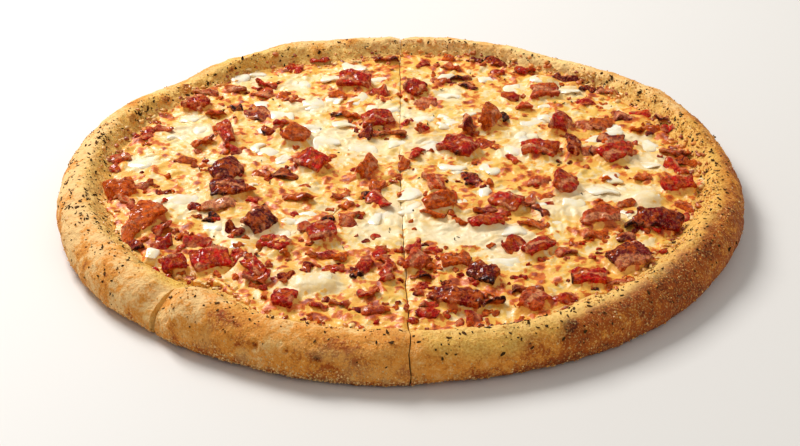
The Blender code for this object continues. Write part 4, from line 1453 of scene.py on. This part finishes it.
def make_herbs(material, draw):
    pile = Pile()
    wanted = RIM_HERBS
    while wanted:
        angle, part = math.radians(draw.uniform(90, 450)), draw.uniform(0.2, 1.0)
        if (math.sin(angle) > 0.3 and part < 0.62) or 222 < math.degrees(angle) < 229.5:
            continue
        clump = 0.45 + 0.6 * float(smooth(-0.3, 0.6, rim_rough(angle, part, 13, 151, 3)))
        if draw.random() > 0.8 * herb_density(angle, part) * clump:
            continue
        place = rim_surface(angle, part)
        if place is None:
            continue
        size = 0.7 + 2.0 * draw.random() ** 2
        points, faces = flake(draw, size, size * draw.uniform(0.35, 0.75))
        tint = np.array(linear(92, 50, 16)) * draw.uniform(0.15, 1.3)
        pile.add(lay(points, *place, draw.uniform(0, ANY_TURN), 0.08), faces, meat=tint)
        wanted -= 1
    for _ in range(CHEESE_HERBS):
        x, y = in_disc(draw, CHEESE_HERBS_REACH)
        points, faces = flake(draw, draw.uniform(0.9, 3.0), draw.uniform(0.4, 0.8))
        where, up = Vector((x, y, surface_level(x, y) + 0.25)), Vector((0, 0, 1))
        pile.add(lay(points, where, up, draw.uniform(0, ANY_TURN), 0), faces, meat=linear(50, 40, 18))
    pile.make("herbs", material, "crust")


def make_grains(material, draw):
    """Toasted cheese and meal grains on the rim, thickest on its right side."""
    pile = Pile()
    wanted = GRAINS
    while wanted:
        angle, part = math.radians(draw.uniform(90, 450)), draw.uniform(0.02, 0.98)
        clump = float(smooth(-0.5, 0.7, rim_rough(angle, part, 11, 171, 3)))
        right = 0.9 * clump * near(angle, 352, 46) * bell(part - 0.66, 0.2)
        bottom = 1.3 * near(angle, 250, 34) * bell(part - 0.13, 0.12)
        inner = 0.4 * clump * bell(part - 0.85, 0.13)
        if draw.random() > right + bottom + inner + 0.1 * clump:
            continue
        place = rim_surface(angle, part)
        if place is None or place[0].z < 1:
            continue
        points, faces = grain(draw, draw.uniform(0.6, 1.45))
        tint = linear(255, 212, 136) if draw.random() < 0.15 + 0.7 * bottom else linear(240, 164, 58)
        pile.add(lay(points, *place, 0, 0.05), faces, meat=np.array(tint) * draw.uniform(0.6, 1.05))
        wanted -= 1
    pile.make("crust_grains", material, "crust")


# Colours of the crumbs at the border
CRUMB_TINTS = (
    (236, 176, 84), (228, 142, 52), (196, 92, 26), (244, 204, 130), (150, 44, 16), (232, 160, 72),
)


def make_border_crumbs(material, draw):
    """Toasted cheese crumbs where the topping meets the rim, and a little way up it."""
    pile = Pile()
    faces = ribbon_faces(BORDER_CRUMB)
    wanted = BORDER_CRUMBS
    while wanted:
        angle = math.radians(draw.uniform(90, 450))
        thick = max(float(near(angle, *place)) for place in ((120, 40), (60, 30), (0, 35), (236, 9)))
        if draw.random() > 0.25 + thick:
            continue
        radius = float(foot_radius(angle)) + draw.gauss(1.5, 2.6)
        x, y = radius * math.cos(angle), radius * math.sin(angle)
        size = draw.uniform(1.2, 3.6)
        points = ribbon(
            size, size * draw.uniform(0.55, 0.9), size * draw.uniform(0.35, 0.6), 0.05 * size, 0.1, 0.3, 0.1,
            draw, BORDER_CRUMB,
        )[0]
        points = turned(points, draw.uniform(0, ANY_TURN), draw.uniform(-0.3, 0.3))
        points += (x, y, surface_level(x, y) + 0.1)
        pile.add(points, faces, meat=np.array(linear(*draw.choice(CRUMB_TINTS))) * draw.uniform(0.8, 1.1))
        wanted -= 1
    pile.make("border_crumbs", material, "cheese")


# Stage

# The stage, in metres: the floor, the room's light, and each lamp's place, power and size
FLOOR_SIZE, FLOOR_GAP = 6.0, 0.0003
ROOM_LIGHT = 0.39
LAMPS = (("window", (-0.75, 0.85, 1.15), 30, 0.7), ("fill", (0.9, -0.9, 1.0), 3, 1.2))


def make_stage():
    """A pale floor, an evenly lit room and two lamps."""
    pick_none()
    bpy.ops.mesh.primitive_plane_add(size=FLOOR_SIZE, location=(0, 0, -FLOOR_GAP))
    floor = bpy.context.object
    floor.name = "floor"
    material, _, shader = new_material("Pale floor", 0.6)
    shader.inputs["Base Color"].default_value = (*linear(226, 222, 216), 1)
    floor.data.materials.append(material)
    world = bpy.data.worlds.new("Soft room")
    bpy.context.scene.world = world
    world.use_nodes = True
    air = world.node_tree.nodes["Background"].inputs
    air["Color"].default_value = (1.0, 0.985, 0.96, 1)
    air["Strength"].default_value = ROOM_LIGHT
    for name, place, power, size in LAMPS:
        lamp = bpy.data.lights.new(name, "AREA")
        lamp.energy = power
        lamp.size = size
        holder = bpy.data.objects.new(name, lamp)
        holder.location = place
        holder.rotation_mode = "QUATERNION"
        holder.rotation_quaternion = (-Vector(place)).to_track_quat("-Z", "Y")
        bpy.context.scene.collection.objects.link(holder)


def make_camera():
    """Looks at the pizza from the front, as in the photograph."""
    camera = bpy.data.cameras.new("camera")
    camera.lens = LENS
    camera.sensor_width = 36.0
    holder = bpy.data.objects.new("camera", camera)
    rise = math.radians(VIEW_ELEVATION)
    holder.location = Vector((0, -math.cos(rise), math.sin(rise))) * VIEW_DISTANCE * MM
    holder.rotation_euler = (math.pi / 2 - rise - math.radians(AIM_DROP), 0, 0)
    bpy.context.scene.collection.objects.link(holder)
    bpy.context.scene.camera = holder


def main():
    bpy.context.scene.view_settings.view_transform = "Standard"
    crust, cheese, bacon = crust_material(), cheese_material(), bacon_material()
    crumb = clouded_material(
        "Cut dough", 0.7, (2.6, 0.42, 0.62), 1.0, linear(236, 196, 118), linear(214, 158, 72), (1.2, 0.8)
    )
    onion = clouded_material(
        "Cooked onion", 0.25, (6.0, 0.35, 0.7), 1.0, linear(255, 242, 216), linear(251, 228, 178), (0.3, 0.4),
        linear(232, 164, 78), Coat_Weight=0.3, Coat_Roughness=0.12, Subsurface_Weight=0.3,
        Subsurface_Radius=(1.0, 0.9, 0.75), Subsurface_Scale=0.003,
    )
    sauce = clouded_material(
        "Tomato sauce", 0.35, (3.0, 0.35, 0.65), 1.0, linear(150, 32, 14), linear(112, 20, 10), (0.5, 0.6),
        Coat_Weight=0.3, Coat_Roughness=0.2,
    )
    herb = clouded_material(
        "Dried herbs", 0.8, (1.2, 0.35, 0.65), 1.0, None, linear(66, 48, 16), (0.3, 0.5),
        Specular_IOR_Level=0.1,
    )
    toasted = clouded_material(
        "Toasted grains", 0.4, (1.5, 0.35, 0.65), 0.4, None, linear(214, 140, 60), (0.2, 0.4)
    )
    for piece in SLICES:
        make_crust(piece, crust, crumb)
        make_cheese(piece, cheese)
        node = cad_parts["sauce_" + piece.name]
        node.data.materials.clear()
        node.data.materials.append(sauce)
    draw = random.Random(5)
    make_bacon_bits(bacon, draw)
    make_bacon_crumbs(bacon, draw)
    make_onion_bits(onion, draw)
    for name in sorted(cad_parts):
        if name.startswith(("bacon", "onion")):
            make_large_topping(name, bacon, onion, draw)
    make_herbs(herb, draw)
    make_grains(toasted, draw)
    make_border_crumbs(toasted, draw)
    make_stage()
    make_camera()


main()
